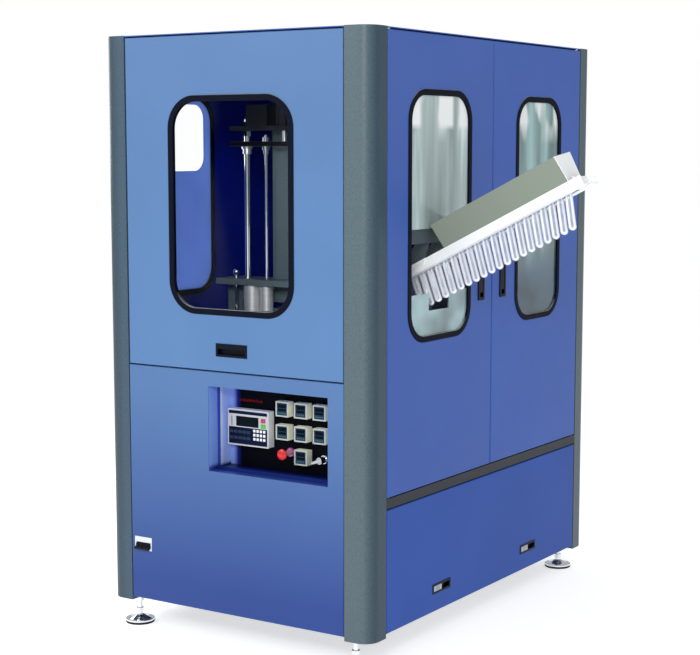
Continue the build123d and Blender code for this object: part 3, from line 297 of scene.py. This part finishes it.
def sky_sheen_rubber(name):
    """Seal rubber, with a pale painted reflection of the sky where it faces up."""
    m = rubber(name)
    nt = m.node_tree
    facing = component(nt, add(nt, "TexCoord", {}).outputs["Normal"], "Z")
    painted_sky_sheen = ramp(nt, noise(nt, place(nt), 60.0, 5.0), (0.3, (0.26, 0.29, 0.28)), (0.7, (0.40, 0.42, 0.40)))
    bloom = mix_color(nt, ranged(nt, facing, 0.45, 0.95, 0.0, 1.0), (0.002, 0.003, 0.011), painted_sky_sheen)
    feed(shader_of(m).inputs["Base Color"], bloom)
    return m


def moulded(name, color, rough=0.45, grain=1400, spread=0.06, specular=0.4):
    """Moulded plastic with a fine spark-eroded grain."""
    m, nt, s = start(name, color, rough, specular=specular)
    v = place(nt)
    tint(nt, s, noise(nt, v, 30.0, 4.0), color, spread)
    bump(nt, s, noise(nt, v, grain, 1.0), 0.25, 0.00015)
    return m


def brushed(name, color, rough, stretch=(4, 4, 300), metal=1.0):
    """Metal with the fine lines of its drawing or grinding, square to the axis with the largest scale."""
    m, nt, s = start(name, color, rough, metal)
    lines = noise(nt, place(nt, stretch), 3.0, 6.0, 0.7)
    tint(nt, s, lines, color, 0.1)
    gloss_varies(nt, s, lines, rough, 0.1)
    bump(nt, s, lines, 0.15, 0.0002)
    return m


def chrome(name, color=(0.78, 0.80, 0.83), rough=0.07):
    """Bright plating with faint wiping marks."""
    m, nt, s = start(name, color, rough, 1.0)
    v = place(nt)
    tint(nt, s, noise(nt, v, 14.0, 4.0), color, 0.04)
    gloss_varies(nt, s, noise(nt, v, 60.0, 5.0), rough, 0.04)
    return m


def banded(name, node, axis, stops, rough, metals=(0.0, 0.0), metal_span=(0.0, 1.0), specular=0.5):
    """Bands of colour along one axis of a node, and a share of metal that changes over a span of it."""
    m, nt, s = start(name, stops[0][1], rough, specular=specular)
    along = box_share(nt, node, axis, 0.0, 1.0)
    grain = ramp(nt, noise(nt, place(nt), 300.0, 3.0), (0.3, (0.92, 0.92, 0.92)), (0.7, WHITE))
    feed(s.inputs["Base Color"], mix_color(nt, 1.0, ramp(nt, along, *stops), grain, "MULTIPLY"))
    feed(s.inputs["Metallic"], ranged(nt, along, *metal_span, *metals))
    gloss_varies(nt, s, noise(nt, place(nt), 25.0), rough, 0.06)
    return m


def tube_glass(name, color):
    """Glass of a lamp's tube, not quite clear."""
    m, nt, s = start(name, color, 0.1)
    tint(nt, s, noise(nt, place(nt), 60.0), color, 0.06)
    feed(s.inputs["Transmission Weight"], 0.6)
    return m


def clear_plastic(name):
    """Thick clear PET with random milky patches, a painted white highlight where it faces the eye, and bluer,
    clearer painted shade at its edges.
    """
    m, nt, s = start(name, (0.95, 0.96, 1.0), 0.08)
    v = place(nt)
    facing = add(nt, "LayerWeight", {"Blend": 0.5}).outputs["Facing"]
    highlight_bands = ramp(nt, facing, (0.0, (0.36, 0.44, 0.58)), (0.03, (0.42, 0.50, 0.64)), (0.09, (0.97, 0.97, 1.0)),
                (0.40, (0.93, 0.94, 1.0)), (0.62, (0.30, 0.34, 0.56)))
    milk = ranged(nt, noise(nt, v, 30.0, 3.0), 0.35, 0.7, 0.0, 0.35)
    feed(s.inputs["Base Color"], mix_color(nt, milk, highlight_bands, (0.92, 0.93, 0.98)))
    feed(s.inputs["Transmission Weight"], ranged(nt, facing, 0.0, 0.1, 0.35, 0.1))
    gloss_varies(nt, s, noise(nt, v, 120.0), 0.1, 0.04)
    feed(s.inputs["IOR"], 1.5)
    feed(s.inputs["Coat Weight"], 0.5)
    feed(s.inputs["Coat Roughness"], 0.04)
    return m


def empty_material(name):
    """New material without a shader, and its node tree."""
    m = bpy.data.materials.new(name)
    m.use_nodes = True
    m.node_tree.nodes.clear()
    return m, m.node_tree


def sheet_surface(nt, color, share, folds, ior):
    """Clear plastic sheet: a film that shows by its share, and a gloss that grows at a slant."""
    through = add(nt, "BsdfTransparent", {"Color": (0.99, 1.0, 1.0)})
    film = add(nt, "BsdfPrincipled", {"Base Color": color, "Roughness": 0.2})
    hazy = add(nt, "MixShader", {0: share, 1: through.outputs[0], 2: film.outputs[0]})
    shine = add(nt, "BsdfAnisotropic", {"Roughness": 0.03})
    bump(nt, shine, folds, 0.2, 0.006)
    edge = add(nt, "Fresnel", {"IOR": ior})
    both = add(nt, "MixShader", {0: edge.outputs[0], 1: hazy.outputs[0], 2: shine.outputs[0]})
    add(nt, "OutputMaterial", {"Surface": both.outputs[0]})


def side_sheet(name, node, pale, lower, clear, lit_top=False):
    """Side pane: pale film hangs in broad folds in the upper part, partly a painted reflection,
    with painted highlights under its top; clearer and darker below.

    clear is the film's share at the foot, and lit_top adds painted stripes of daylight under the upper edge."""
    m, nt = empty_material(name)
    film_and_reflection_share = box_share(nt, node, "Z", 0.12, 0.42)
    above_hem = box_share(nt, node, "Z", 0.2, 0.36)
    near_top = box_share(nt, node, "Z", 0.80, 0.90)
    folds = noise(nt, place(nt, (1, 7, 0.7)), 2.2, 2.0, 0.4)
    dim = ramp(nt, noise(nt, place(nt, (1, 1, 1.3)), 4.5, 2.0), (0.36, shade(lower, 0.5)),
               (0.6, shade(lower, 1.35)))
    soft = ramp(nt, folds, (0.35, shade(pale, 0.62)), (0.52, pale), (0.66, shade(pale, 1.6)))
    painted_highlights = ranged(nt, noise(nt, place(nt, (1, 6, 2)), 2.6, 1.0), 0.45, 0.6, 0.0, 0.9)
    upper = mix_color(nt, times(nt, painted_highlights, near_top), soft, (0.95, 0.97, 0.96))
    if lit_top:
        stripes = ramp(nt, box_share(nt, node, "Y", 0, 1), (0.0, WHITE), (0.15, WHITE), (0.21, BLACK),
                       (0.47, BLACK), (0.52, WHITE), (0.70, WHITE), (0.75, BLACK), (0.80, BLACK),
                       (0.86, WHITE))
        at_top = box_share(nt, node, "Z", 0.852, 0.876)
        upper = mix_color(nt, times(nt, stripes, at_top), upper, (0.96, 0.98, 0.98))
    color = mix_color(nt, above_hem, dim, upper)
    share = ranged(nt, film_and_reflection_share, 0.0, 1.0, clear, 0.93)
    sheet_surface(nt, color, share, folds, 1.3)
    return m


def front_sheet(name):
    """Front pane: clear, with the faintest bloom."""
    m, nt = empty_material(name)
    folds = noise(nt, place(nt, (2, 1, 1)), 2.0, 2.0)
    color = ramp(nt, folds, (0.3, (0.10, 0.13, 0.16)), (0.7, (0.45, 0.50, 0.53)))
    sheet_surface(nt, color, ranged(nt, folds, 0.5, 0.75, 0.0, 0.02), folds, 1.06)
    return m


def tinted_sheet(name, color):
    """Blue translucent sheet that lets the daylight glow through."""
    m, nt, s = start(name, color, 0.3)
    v = place(nt)
    tint(nt, s, noise(nt, v, 4.0, 3.0), color, 0.06)
    bump(nt, s, noise(nt, v, 600.0, 2.0), 0.1, 0.0002)
    glow = add(nt, "BsdfTranslucent", {"Color": clouds(nt, noise(nt, v, 5.0, 4.0), color, 1.5, 1.75)})
    both = add(nt, "MixShader", {0: 0.8, 1: s.outputs[0], 2: glow.outputs[0]})
    feed(nt.nodes["Material Output"].inputs["Surface"], both.outputs[0])
    return m


# ---------------------------------------------------------------- materials of the nodes
paint = powder_coat("blue_powder_coat", BLUE)
# Painted light and shade: the front panels and doors change tone from top to foot
lower_front = light_and_shade_coat("lower_front_coat", "lower_front_panel", (0.013, 0.048, 0.240),
                         (0.078, 0.165, 0.365))
near_coat = light_and_shade_coat("near_door_coat", "near_door", (0.036, 0.094, 0.362), BLUE, 0.18)
far_coat = light_and_shade_coat("far_door_coat", "far_door", (0.036, 0.098, 0.385), (0.050, 0.110, 0.395), 0.18)
front_coat = light_and_shade_coat("front_door_coat", "front_door", (0.088, 0.190, 0.395), (0.084, 0.172, 0.365))
flap_coat = powder_coat("flap_blue_coat", (0.034, 0.086, 0.350), specular=0.06)
# Painted shade: deep navy on the inner faces of the left and rear panels
lined_left = shade_lined_coat("left_blue_coat", "left_panel", "X", 0.02, 0.06)
lined_rear = shade_lined_coat("rear_blue_coat", "rear_panel", "Y", 0.98, 0.94)
blue_sheet = tinted_sheet("blue_translucent_sheet", (0.165, 0.222, 0.395))
recess_paint = recess_coat("recess_blue_coat")
posts = hammered("hammered_post_enamel", (0.076, 0.110, 0.128))
# The front posts are lit and shaded copies of the post enamel, with painted light and shade across each
left_post = shaded_post("left_post_enamel", "post_front_left", (0.037, 0.060, 0.080),
                        (0.056, 0.092, 0.130), 0.35, 0.75)
corner_post = shaded_post("corner_post_enamel", "post_front_right", (0.092, 0.129, 0.148),
                          (0.034, 0.064, 0.090), 0.70, 0.98)
machine_green = hammered("hammered_machine_enamel", (0.120, 0.160, 0.185))
dark_paint = powder_coat("dark_frame_enamel", DARK_IRON, 0.42)
cover_green = powder_coat("cover_enamel", (0.225, 0.258, 0.214), 0.45)
rail_white = powder_coat("white_rail_enamel", (0.93, 0.94, 0.95), 0.30, 0.02)
bracket_look = rail_banded("bracket_enamel", "chute_bracket", (0.060, 0.082, 0.095), (0.86, 0.88, 0.88))
gasket = sky_sheen_rubber("gasket_rubber")
pad = rubber("foot_rubber", (0.02, 0.02, 0.02), 0.7)
front_clear = front_sheet("front_sheet")
near_clear = side_sheet("near_side_sheet", "near_panes", (0.43, 0.53, 0.53), (0.31, 0.46, 0.49), 0.8, True)
far_clear = side_sheet("far_side_sheet", "far_pane", (0.22, 0.34, 0.34), (0.065, 0.14, 0.20), 0.5)
preform_clear = clear_plastic("preform_plastic")
quartz = tube_glass("lamp_quartz", (0.86, 0.83, 0.78))
black = moulded("black_plastic", (0.002, 0.003, 0.010), 0.4, specular=0.12)
case_grey = moulded("case_grey_plastic", (0.74, 0.75, 0.75))
case_cream = moulded("case_cream_plastic", (0.84, 0.84, 0.66))
slider = moulded("slider_grey_plastic", (0.40, 0.43, 0.46))
breaker_white = moulded("breaker_white_plastic", (0.70, 0.72, 0.74))
chromed = chrome("chrome_plate")
knob_metal = chrome("knob_metal", (0.42, 0.43, 0.48), 0.22)
steel = brushed("drawn_steel", (0.50, 0.52, 0.55), 0.32)
sheet_steel = brushed("brushed_sheet_steel", (0.46, 0.49, 0.52), 0.38, (200, 3, 3))
alu = brushed("machined_aluminium", (0.86, 0.86, 0.88), 0.42, (3, 3, 160), 0.55)

# The lit wall of the recess shines blue on the left edge of the plate
plate_black = banded("plate_black_anodised", "control_plate", "X",
                     ((0.0, (0.30, 0.42, 0.85)), (0.03, (0.24, 0.34, 0.80)),
                      (0.065, (0.010, 0.020, 0.20)), (0.10, (0.001, 0.001, 0.004))), 0.6, specular=0.05)
# The stop button's stem is paler than its cap
stop_red = banded("stop_red_plastic", "stop_button_head", "Y",
                  ((0.0, STOP_RED), (0.24, STOP_RED), (0.34, (0.55, 0.30, 0.32))), 0.25)
# The stop button's base, on the left, reflects its red head
base_plating = banded("base_plating", "button_bases", "X",
                      ((0.0, RED_GLOW), (0.2, RED_GLOW), (0.3, (0.72, 0.74, 0.78))), 0.16,
                      metals=(0.5, 1.0), metal_span=(0.2, 0.3))
# The carriage is a dark plate between its bright bushes, below, and the bright rod of the lift cylinder
carriage_look = banded("carriage_enamel", "carriage", "Z",
                       ((0.0, BRIGHT_STEEL), (0.0765, BRIGHT_STEEL), (0.0805, DARK_IRON), (0.125, DARK_IRON),
                        (0.129, (0.70, 0.72, 0.75))), 0.3, metals=(0.8, 0.8))

looks = {
    paint: ["roof_panel"],
    near_coat: ["near_door"],
    far_coat: ["far_door"],
    flap_coat: ["service_panel"],
    lower_front: ["lower_front_panel"],
    front_coat: ["front_door"],
    lined_left: ["left_panel"],
    lined_rear: ["rear_panel"],
    recess_paint: ["control_recess"],
    blue_sheet: ["left_infill_panel"],
    posts: ["post_rear_left", "post_rear_right"],
    left_post: ["post_front_left"],
    corner_post: ["post_front_right"],
    machine_green: ["station_frame", "nozzle_plate", "end_platens"],
    bracket_look: ["chute_bracket"],
    dark_paint: ["base_frame", "middle_frame", "stretch_head"],
    carriage_look: ["carriage"],
    base_plating: ["button_bases"],
    cover_green: ["chute_cover"],
    rail_white: ["chute_rails"],
    gasket: ["left_window_seal", "front_window_seal", "near_window_seal", "far_window_seal"],
    pad: ["foot_pads"],
    front_clear: ["front_pane"],
    near_clear: ["near_panes"],
    far_clear: ["far_pane"],
    preform_clear: ["preforms"],
    quartz: ["heater_lamps"],
    black: ["front_pull", "near_handle_frame", "near_handle", "far_handle_frame", "far_handle",
            "latch_frames", "breaker_levers"],
    plate_black: ["control_plate"],
    case_grey: ["operator_terminal"],
    case_cream: ["temperature_controllers"],
    slider: ["near_latch_slider", "far_latch_slider"],
    breaker_white: ["breaker_body"],
    stop_red: ["stop_button_head"],
    chromed: ["foot_studs", "guide_rods", "tie_bars", "stretch_rods"],
    knob_metal: ["selector_knob"],
    steel: ["hinge_pins"],
    sheet_steel: ["deck_plate", "oven_housing"],
    alu: ["blow_nozzles", "mould_front", "mould_rear"],
}
for material, names in looks.items():
    for name in names:
        nodes[name].data.materials.clear()
        nodes[name].data.materials.append(material)


# ---------------------------------------------------------------- pieces in mesh code
def piece(name, build, material, body):
    """Mesh object from a build function, riding on a body."""
    bm = bmesh.new()
    build(bm)
    bmesh.ops.recalc_face_normals(bm, faces=bm.faces)
    mesh = bpy.data.meshes.new(name)
    bm.to_mesh(mesh)
    bm.free()
    mesh.materials.append(material)
    o = bpy.data.objects.new(name, mesh)
    bpy.context.scene.collection.objects.link(o)
    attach(o, body)
    return o


def bridge(bm, a, b):
    """Faces between two rings of as many points."""
    for i in range(len(a)):
        j = (i + 1) % len(a)
        bm.faces.new((a[i], a[j], b[j], b[i]))


def on_front(u, v, depth):
    """Point from millimetres: u right of the cabinet's middle, v above the floor, depth into the front."""
    return Vector((mid_x + u / 1000, front_y + depth / 1000, v / 1000))


def slab(bm, u0, u1, v0, v1, face, back, radius, edge):
    """Plate with rounded corners and a softened front edge, millimetres as in on_front."""
    corner_steps = 4
    rings = []
    for depth, inset in ((back, 0), (face + edge, 0), (face, edge)):
        ring = []
        r = max(radius - inset, 0.05)
        for cu, cv, turn in ((u1, v1, 0), (u0, v1, 90), (u0, v0, 180), (u1, v0, 270)):
            su = 1 if cu == u1 else -1
            sv = 1 if cv == v1 else -1
            for k in range(corner_steps + 1):
                a = math.radians(turn + 90 * k / corner_steps)
                u = cu - su * (inset + r) + r * math.cos(a)
                v = cv - sv * (inset + r) + r * math.sin(a)
                ring.append(bm.verts.new(on_front(u, v, depth)))
        rings.append(ring)
    for a, b in zip(rings, rings[1:]):
        bridge(bm, a, b)
    bm.faces.new(rings[-1])
    bm.faces.new(list(reversed(rings[0])))


def front_piece(name, boxes, face, back, material, radius=1.5, edge=0.3):
    """Plates on the cabinet's front, one for each box, between two depths."""
    def build(bm):
        for u0, u1, v0, v1 in boxes:
            slab(bm, u0, u1, v0, v1, face, back, radius, edge)

    piece(name, build, material, "cabinet")


def around(points, u_span, v_span):
    """The same box about each of the points."""
    return [(u + u_span[0], u + u_span[1], v + v_span[0], v + v_span[1]) for u, v in points]


def both_ways(half):
    """Span with its middle at the point."""
    return -half, half


# Controllers: grey rim, dark face, two display windows and four keys each, round the front of the case.
# They stand three in a row, with a single one in the third row
case_face = 78.0
first_u, first_v, pitch_u, pitch_v = 138, 774.5, 71, 74.5
grid = ((0, 0), (1, 0), (2, 0), (0, 1), (1, 1), (2, 1), (1, 2))
controllers = [(first_u + pitch_u * i, first_v - pitch_v * j) for i, j in grid]
rim_in, rim_out = 20.4, 23.6
low_side, high_side = (-rim_out, -rim_in), (rim_in, rim_out)
rim_height, rim_width = both_ways(rim_out), both_ways(22)
face_size, window_width = both_ways(19.8), both_ways(15.5)
upper_window, lower_window, key_row = (3.8, 15.6), (-6.5, 1.5), (-15.8, -10.6)
first_key, key_width, key_pitch = -15, 5.5, 8
rims = (around(controllers, low_side, rim_height) + around(controllers, high_side, rim_height)
        + around(controllers, rim_width, high_side) + around(controllers, rim_width, low_side))
faces = around(controllers, face_size, face_size)
windows = around(controllers, window_width, upper_window) + around(controllers, window_width, lower_window)
key_starts = [first_key + key_pitch * i for i in range(4)]
keys = [box for start_u in key_starts for box in around(controllers, (start_u, start_u + key_width), key_row)]
rim_grey = moulded("rim_grey", (0.42, 0.44, 0.42), 0.4)
face_teal = moulded("controller_face", (0.010, 0.040, 0.075), 0.35, 500, 0.2, specular=0.05)
display = moulded("display_window", (0.001, 0.004, 0.008), 0.2, 200, 0.3, specular=0.05)
key_grey = moulded("key_grey", (0.06, 0.11, 0.14), 0.4, specular=0.1)
front_piece("controller_rims", rims, case_face - 0.3, case_face + 0.5, rim_grey, radius=0.6)
front_piece("controller_faces", faces, case_face + 0.8, case_face + 2, face_teal)
front_piece("controller_windows", windows, case_face + 0.4, case_face + 1, display, radius=1)
front_piece("controller_keys", keys, case_face + 0.2, case_face + 1, key_grey, radius=1.2)

# Operator terminal: a foil over the front of the case, with printed fields, display and key caps on it
left, right, bottom, top = -76.0, 86.0, 642.5, 760.0
foil_face = 76.7
print_face, print_back = foil_face - 0.5, foil_face + 0.3
cap_face, cap_back = foil_face - 1.7, foil_face - 0.1
field_navy = moulded("terminal_navy", (0.002, 0.006, 0.030), 0.4, specular=0.06)
legend_grey = moulded("terminal_legend_grey", (0.020, 0.035, 0.065), 0.45, specular=0.1)
foil_grey = moulded("terminal_foil_grey", (0.50, 0.49, 0.51), 0.4)
band_grey = moulded("terminal_band_grey", (0.26, 0.25, 0.27), 0.4)
cap_white = moulded("key_cap_white", (0.80, 0.82, 0.84), 0.35)
cap_red = moulded("key_cap_red", (0.42, 0.03, 0.13), 0.3)
cap_green = moulded("key_cap_green", (0.10, 0.42, 0.05), 0.3)
foil = [(left + 1.5, right - 1.5, bottom + 1.5, top - 1.5)]
top_strip = [(left + 5, right - 5, top - 15, top - 4.5)]
slot_marks = [(left + 14, left + 20, top - 53, top - 23)]
screen = [(left + 34.6, right - 38.6, top - 54.4, top - 21.6)]
keypad = [(left + 5, right - 5, bottom + 5, bottom + 60)]
number_pitch_u, number_pitch_v, function_pitch = 13, 13.333, 17
number_keys = [(right - 35 + number_pitch_u * (i - 1.5), bottom + 39 + number_pitch_v * (j - 1))
               for i in range(4) for j in range(3)]
function_rows = (bottom + 25, bottom + 45)
function_keys = [(left + 50 + function_pitch * (i - 2), v) for i in range(5) for v in function_rows]
number_caps = around(number_keys, both_ways(4.4), both_ways(4.4))
function_caps = around(function_keys, both_ways(7), both_ways(4.6))
red_cap = around([(right - 20, top - 30)], both_ways(9), both_ways(7))
green_cap = around([(right - 20, top - 48)], both_ways(9), both_ways(7))
front_piece("terminal_foil", foil, foil_face, case_face + 0.3, foil_grey, radius=3)
front_piece("terminal_top_strip", top_strip, print_face, print_back, field_navy)
front_piece("terminal_slot_marks", slot_marks, print_face, print_back, band_grey)
front_piece("terminal_display", screen, print_face + 0.1, print_back, display)
front_piece("terminal_keypad_field", keypad, print_face, print_back, field_navy)
front_piece("terminal_number_caps", number_caps, cap_face, cap_back, cap_white)
front_piece("terminal_function_caps", function_caps, cap_face + 0.3, cap_back, legend_grey)
front_piece("terminal_red_cap", red_cap, cap_face, print_back, cap_red)
front_piece("terminal_green_cap", green_cap, cap_face, print_back, cap_green)

# Plain red dashes printed on the control plate, over the terminal
plate_face = 108.0
dash_foot = 782
u, dashes_end = -50.0, 40
draw = random.Random(7)
dashes = []
while u < dashes_end:
    width = draw.uniform(5, 9)
    dashes.append((u, u + width, dash_foot, dash_foot + 6 + draw.uniform(0, 4)))
    u += width + draw.uniform(2.5, 4)
print_red = moulded("print_red", (0.16, 0.003, 0.005), 0.5, specular=0.05)
front_piece("plate_dashes", dashes, plate_face - 0.3, plate_face + 0.2, print_red,
            radius=0.6, edge=0.1)

# Chute cover: folded sheet, flared on its near side, with a white plate at the upper end. Millimetres:
# s up the slope from the near door's face, y as in the frame, t square to the slope
sheet = 2.0
cover_start, cover_end = 54.0, 526.5
foot_t, near_t, far_t = 15.0, 96.0, 112.0
near_foot_y, near_top_y, far_y = -400.0, -425.0, -300.0
outline = [(near_foot_y, foot_t), (near_top_y, near_t), (far_y, far_t), (far_y, foot_t)]
# Where the sheet slants, a little more than its thickness lies between its two faces
lining = [(near_foot_y + sheet, foot_t), (near_top_y + 2.4, near_t - 2.2), (far_y - sheet, far_t - 2.2),
          (far_y - sheet, foot_t)]


def rings_at(bm, section, *stations):
    """The section at each station along the chute."""
    rings = []
    for s in stations:
        ring = []
        for y, t in section:
            x = right_x + (s * math.cos(slope) - t * math.sin(slope)) / 1000
            z = chute_z + (s * math.sin(slope) + t * math.cos(slope)) / 1000
            ring.append(bm.verts.new(Vector((x, y / 1000, z))))
        rings.append(ring)
    return rings


def trough(bm):
    """Open-bottomed sheet trough, closed at both ends by the same sheet."""
    outer = rings_at(bm, outline, cover_start, cover_end)
    inner = rings_at(bm, lining, cover_start + sheet, cover_end - sheet)
    for i in range(3):
        bm.faces.new((outer[0][i], outer[0][i + 1], outer[1][i + 1], outer[1][i]))
        bm.faces.new((inner[0][i], inner[1][i], inner[1][i + 1], inner[0][i + 1]))
    for ring in outer + inner:
        bm.faces.new(ring)
    for k in (0, 3):
        bm.faces.new((outer[0][k], outer[1][k], inner[1][k], inner[0][k]))
    for k in (0, 1):
        bm.faces.new((outer[k][0], outer[k][3], inner[k][3], inner[k][0]))


def end_plate(bm):
    rings = rings_at(bm, outline, cover_end, cover_end + sheet)
    bridge(bm, *rings)
    for ring in rings:
        bm.faces.new(ring)


def folded(build, name, material):
    """Sheet piece on the near door, with its folds softened."""
    o = piece(name, build, material, "near_door")
    soft = o.modifiers.new("folds", "BEVEL")
    soft.width = 0.0008
    soft.segments = 2
    soft.limit_method = "ANGLE"
    return o


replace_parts(folded(trough, "folded_chute_cover", cover_green), "chute_cover")
folded(end_plate, "chute_end_plate", rail_white)


# ---------------------------------------------------------------- floor, light and camera
scene = bpy.context.scene
scene.view_settings.view_transform = "Standard"

floor_half = 30
floor_corners = [(-floor_half, -floor_half, 0), (floor_half, -floor_half, 0), (floor_half, floor_half, 0),
                 (-floor_half, floor_half, 0)]
floor_mesh = bpy.data.meshes.new("floor")
floor_mesh.from_pydata(floor_corners, [], [(0, 1, 2, 3)])
floor = bpy.data.objects.new("floor", floor_mesh)
scene.collection.objects.link(floor)
floor_material, floor_nt, floor_shader = start("pale_floor", FLOOR_GREY, 0.8)
tint(floor_nt, floor_shader, noise(floor_nt, place(floor_nt), 0.6), FLOOR_GREY, 0.01)
feed(floor_shader.inputs["Emission Color"], WHITE)
feed(floor_shader.inputs["Emission Strength"], 0.62)
floor_mesh.materials.append(floor_material)

# A cool and even light, behind which the camera sees plain white
world = bpy.data.worlds.new("studio")
scene.world = world
world.use_nodes = True
world_nt = world.node_tree
ambient = world_nt.nodes["Background"]
feed(ambient.inputs["Color"], (0.93, 0.97, 1.0))
feed(ambient.inputs["Strength"], 0.5)
backdrop = add(world_nt, "Background", {"Color": WHITE})
path = add(world_nt, "LightPath", {})
seen = add(world_nt, "MixShader", {0: path.outputs["Is Camera Ray"], 1: ambient.outputs[0],
                                   2: backdrop.outputs[0]})
feed(world_nt.nodes["World Output"].inputs["Surface"], seen.outputs[0])


def area(name, where, target, size, power, color=WHITE):
    """Rectangular lamp at a place, turned to its target; power in watts."""
    lamp = bpy.data.lights.new(name, "AREA")
    lamp.shape = "RECTANGLE"
    lamp.size, lamp.size_y = size
    lamp.energy = power
    lamp.color = color
    o = bpy.data.objects.new(name, lamp)
    scene.collection.objects.link(o)
    o.location = where
    o.rotation_euler = (Vector(target) - Vector(where)).to_track_quat("-Z", "Y").to_euler()


area("left_key", (mid_x - 2.0, -4.0, 3.3), (mid_x, front_y, 1.7), (3.4, 1.6), 70, (0.92, 1.0, 0.97))
area("right_soft", (mid_x + 4.5, -1.2, 3.4), (mid_x + 0.5, 0, 1.2), (3.5, 3.5), 25)
area("eye_side", (mid_x + 2.3, -4.6, 2.6), (mid_x + 0.2, -0.5, 1.2), (1.2, 0.8), 75)
area("left_window_light", (left_x - 2.0, 0.2, 2.4), (left_x, -0.2, 1.4), (2.0, 2.0), 50)

# The photographer's place, solved from the cabinet's straight edges
eye_right, eye_ahead, eye_height = 3.07065, 4.04339, 1.5994
yaw, pitch = math.radians(32.99), math.radians(6.888)
focal_length, film_width, film_shift = 83.22, 36.0, 0.0207
camera_data = bpy.data.cameras.new("camera")
camera = bpy.data.objects.new("camera", camera_data)
scene.collection.objects.link(camera)
scene.camera = camera
forward = Vector((-math.sin(yaw) * math.cos(pitch), math.cos(yaw) * math.cos(pitch), -math.sin(pitch)))
camera.location = (mid_x + eye_right, front_y - eye_ahead, eye_height)
camera.rotation_mode = "QUATERNION"
camera.rotation_quaternion = forward.to_track_quat("-Z", "Y")
camera_data.lens = focal_length
camera_data.sensor_width = film_width
camera_data.shift_y = film_shift
